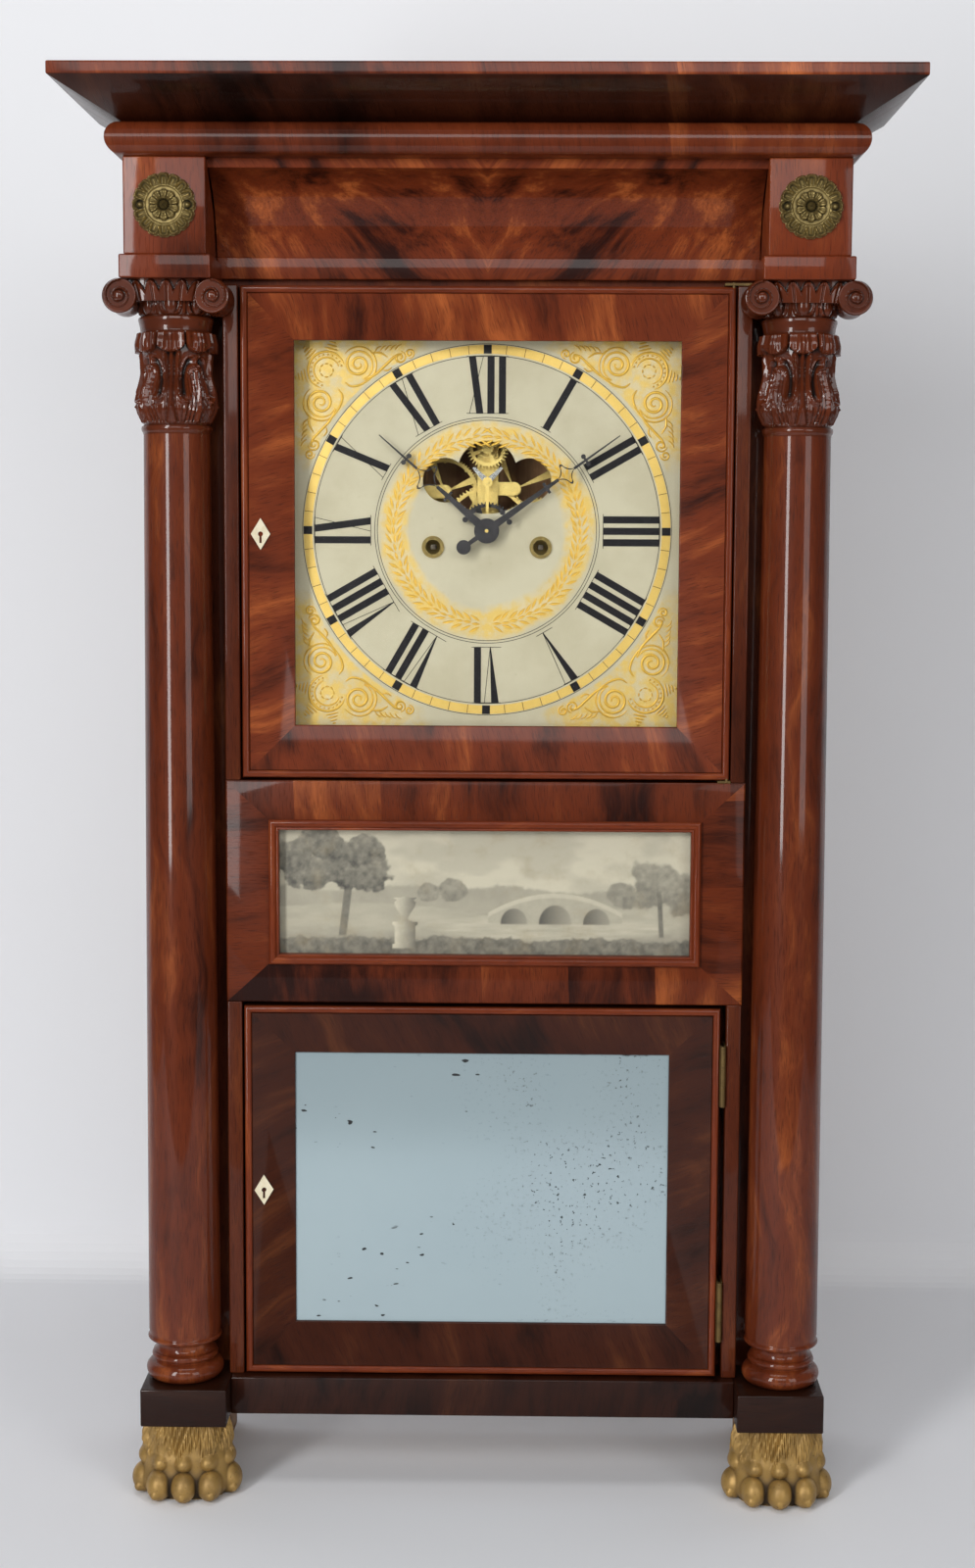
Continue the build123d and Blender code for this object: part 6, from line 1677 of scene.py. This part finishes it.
def spline_points(route):
    """The smooth line of a spline with these control points, read back from a curve without thickness."""
    curve = bpy.data.curves.new("cord_line", "CURVE")
    curve.dimensions = "3D"
    spline = curve.splines.new("NURBS")
    spline.points.add(len(route) - 1)
    flat = np.stack([route[:, 0], route[:, 1], 0 * route[:, 0], 0 * route[:, 0] + 1], -1)
    spline.points.foreach_set("co", flat.ravel())
    spline.order_u = 3
    spline.use_endpoint_u = True
    spline.resolution_u = 6
    holder = bpy.data.objects.new("cord_line", curve)
    line = bpy.data.meshes.new_from_object(holder)
    found = np.zeros(len(line.vertices) * 3)
    line.vertices.foreach_get("co", found)
    bpy.data.objects.remove(holder)
    bpy.data.curves.remove(curve)
    bpy.data.meshes.remove(line)
    return found.reshape(-1, 3)[:, :2]


def cord_tube(line, sign):
    """A round tube about a line in the plane of the weights: offset = r cos sideways and r sin forward."""
    turn = np.linspace(0, 2 * math.pi, 13)
    flat = line[:, None] + CORD_R * sideways(line)[:, None] * np.cos(turn)[:, None]
    forward = hang_f + CORD_R * np.sin(turn) + 0 * flat[..., 0]
    grid = np.stack([sign * flat[..., 0], forward, flat[..., 1]], -1)
    along = np.broadcast_to((lengths(line) * MAP_UNIT)[:, None], forward.shape)
    uv = np.stack([along, np.broadcast_to(turn / (2 * math.pi), forward.shape)], -1)
    return [patch(grid, uv=uv)] + [patch(to_middle(end)) for end in (grid[0], grid[-1])]


bent = spline_points(cord_route())
hanging = np.stack([np.full(30, hang_x), np.linspace(pulley[1], WEIGHT[5], 30)], -1)
for sign, side_name in ((1, "time"), (-1, "strike")):
    node = side_name + "_cord"
    piece(node + "_over_pulley", cord_tube(bent, sign), cord_cotton, "case", [node])
    drop = piece(node + "_drop", cord_tube(hanging, sign), cord_cotton, "case", [node])
    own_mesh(drop)
print("cord length", round(float(lengths(bent)[-1] + lengths(hanging)[-1])), "mm each")

# %% [markdown]
# Floor, light and camera
# A plain pale sheet runs under the clock and up behind it, as in a photographer's studio. A tall soft lamp
# stands at the left, low enough for the round columns to mirror it along most of their length, and the shadow
# falls to the right. A wide weak one at the right, one over the camera and one above fill in. From behind,
# the sheet is clear, so that the back of the clock can be seen. The camera stands where the picture was taken
# from: almost in front, a little right of the middle, at the height of the hands, looking slightly down.

# %% Studio sheet
SHEET_HALF, SHEET_FRONT, SHEET_BACK, SHEET_TOP, SHEET_BEND = 1500.0, 900.0, -470.0, 1900.0, 40.0
bend = arc((SHEET_BACK + SHEET_BEND, SHEET_BEND), SHEET_BEND, 270, 180, 9)
sweep = np.concatenate([[(SHEET_FRONT, 0.0)], bend, [(SHEET_BACK, SHEET_TOP)]])
sheet_x = np.array([SHEET_HALF, -SHEET_HALF])
sheet_grid = np.stack([np.stack([np.full(len(sweep), x), sweep[:, 0], sweep[:, 1]], -1) for x in sheet_x])
sheet_points, sheet_faces = patch(sheet_grid)[:2]
sheet_mesh = bpy.data.meshes.new("studio_sheet")
sheet_mesh.from_pydata(sheet_points.tolist(), [], sheet_faces.tolist())
sheet_mesh.update()
studio = bpy.data.objects.new("studio_sheet", sheet_mesh)
bpy.context.scene.collection.objects.link(studio)
paper, paper_tree, paper_shader = blank("studio_paper")
paper_where = where_in(paper_tree)
paper_cloud = noise(paper_tree, paper_where, (2, 2, 2), 2.0, 0.5)
paper_shade = mixed(paper_tree, paper_cloud, srgb(232, 233, 236), srgb(236, 237, 240))
feed(paper_shader, {"Base Color": paper_shade, "Roughness": 0.8})
paper_behind = add(paper_tree, "ShaderNodeNewGeometry").outputs["Backfacing"]
paper_clear = add(paper_tree, "ShaderNodeBsdfTransparent").outputs[0]
one_sided = add(paper_tree, "ShaderNodeMixShader",
                {0: paper_behind, 1: paper_shader.outputs[0], 2: paper_clear}).outputs[0]
feed(paper_tree.nodes["Material Output"], {"Surface": one_sided})
sheet_mesh.materials.append(paper)
print("studio sheet placed")


# %% Lamps and world
def soft_lamp(name, place, aim, width, height, power):
    """A rectangular lamp at a place in metres, turned to face a point."""
    lamp = bpy.data.lights.new(name, "AREA")
    lamp.shape = "RECTANGLE"
    lamp.size, lamp.size_y, lamp.energy = width, height, power
    made = bpy.data.objects.new(name, lamp)
    look = np.array(aim) - np.array(place)
    away = -look / np.linalg.norm(look)
    right = np.cross((0.0, 0.0, 1.0), away)
    right = right / np.linalg.norm(right)
    up = np.cross(away, right)
    turn = np.eye(4)
    turn[:3, :3] = np.stack([right, up, away], 1)
    turn[:3, 3] = place
    made.matrix_world = Matrix(turn.tolist())
    bpy.context.scene.collection.objects.link(made)


soft_lamp("lamp_left", (-1.2, -2.05, 1.05), (0.0, 0.0, 0.6), 0.42, 1.9, 39.0)
soft_lamp("lamp_right", (1.5, -2.1, 0.95), (0.0, 0.0, 0.5), 0.9, 1.6, 15.0)
soft_lamp("lamp_front", (0.0, -2.3, 1.5), (0.0, 0.0, 0.6), 1.4, 0.7, 13.0)
soft_lamp("lamp_top", (0.0, -0.5, 2.5), (0.0, 0.0, 0.5), 1.4, 0.7, 9.0)
world = bpy.data.worlds.new("studio_world")
bpy.context.scene.world = world
world.use_nodes = True
tree = world.node_tree
tree.nodes.clear()
sky = add(tree, "ShaderNodeBackground", {"Color": (0.94, 0.96, 1.0, 1.0), "Strength": 0.1}).outputs[0]
tree.links.new(sky, add(tree, "ShaderNodeOutputWorld").inputs[0])
print("lamps and world lit")

# %% Camera
IMAGE_HIGH, FOCAL = 1600.0, 2400.0
CAMERA_AT = (25.6, 1574.1, 659.2)
YAW, PITCH, ROLL_TURN = math.radians(0.87), math.radians(6.13), math.radians(-0.28)
ahead = np.array([-math.sin(YAW) * math.cos(PITCH), math.cos(YAW) * math.cos(PITCH), -math.sin(PITCH)])
level = np.array([math.cos(YAW), math.sin(YAW), 0.0])
down = np.cross(ahead, level)
right = math.cos(ROLL_TURN) * level + math.sin(ROLL_TURN) * down
below = -math.sin(ROLL_TURN) * level + math.cos(ROLL_TURN) * down
lens = bpy.data.cameras.new("photo_camera")
lens.sensor_fit = "VERTICAL"
lens.sensor_height = 24.0
lens.lens = FOCAL / IMAGE_HIGH * lens.sensor_height
lens.clip_end = 20.0
camera = bpy.data.objects.new("photo_camera", lens)
pose = np.eye(4)
pose[:3, :3] = np.stack([right, -below, -ahead], 1)
pose[:3, 3] = to_world(CAMERA_AT)
camera.matrix_world = Matrix(pose.tolist())
bpy.context.scene.collection.objects.link(camera)
bpy.context.scene.camera = camera
bpy.context.scene.view_settings.view_transform = "Standard"
print("camera at", [round(float(v), 3) for v in pose[:3, 3]])
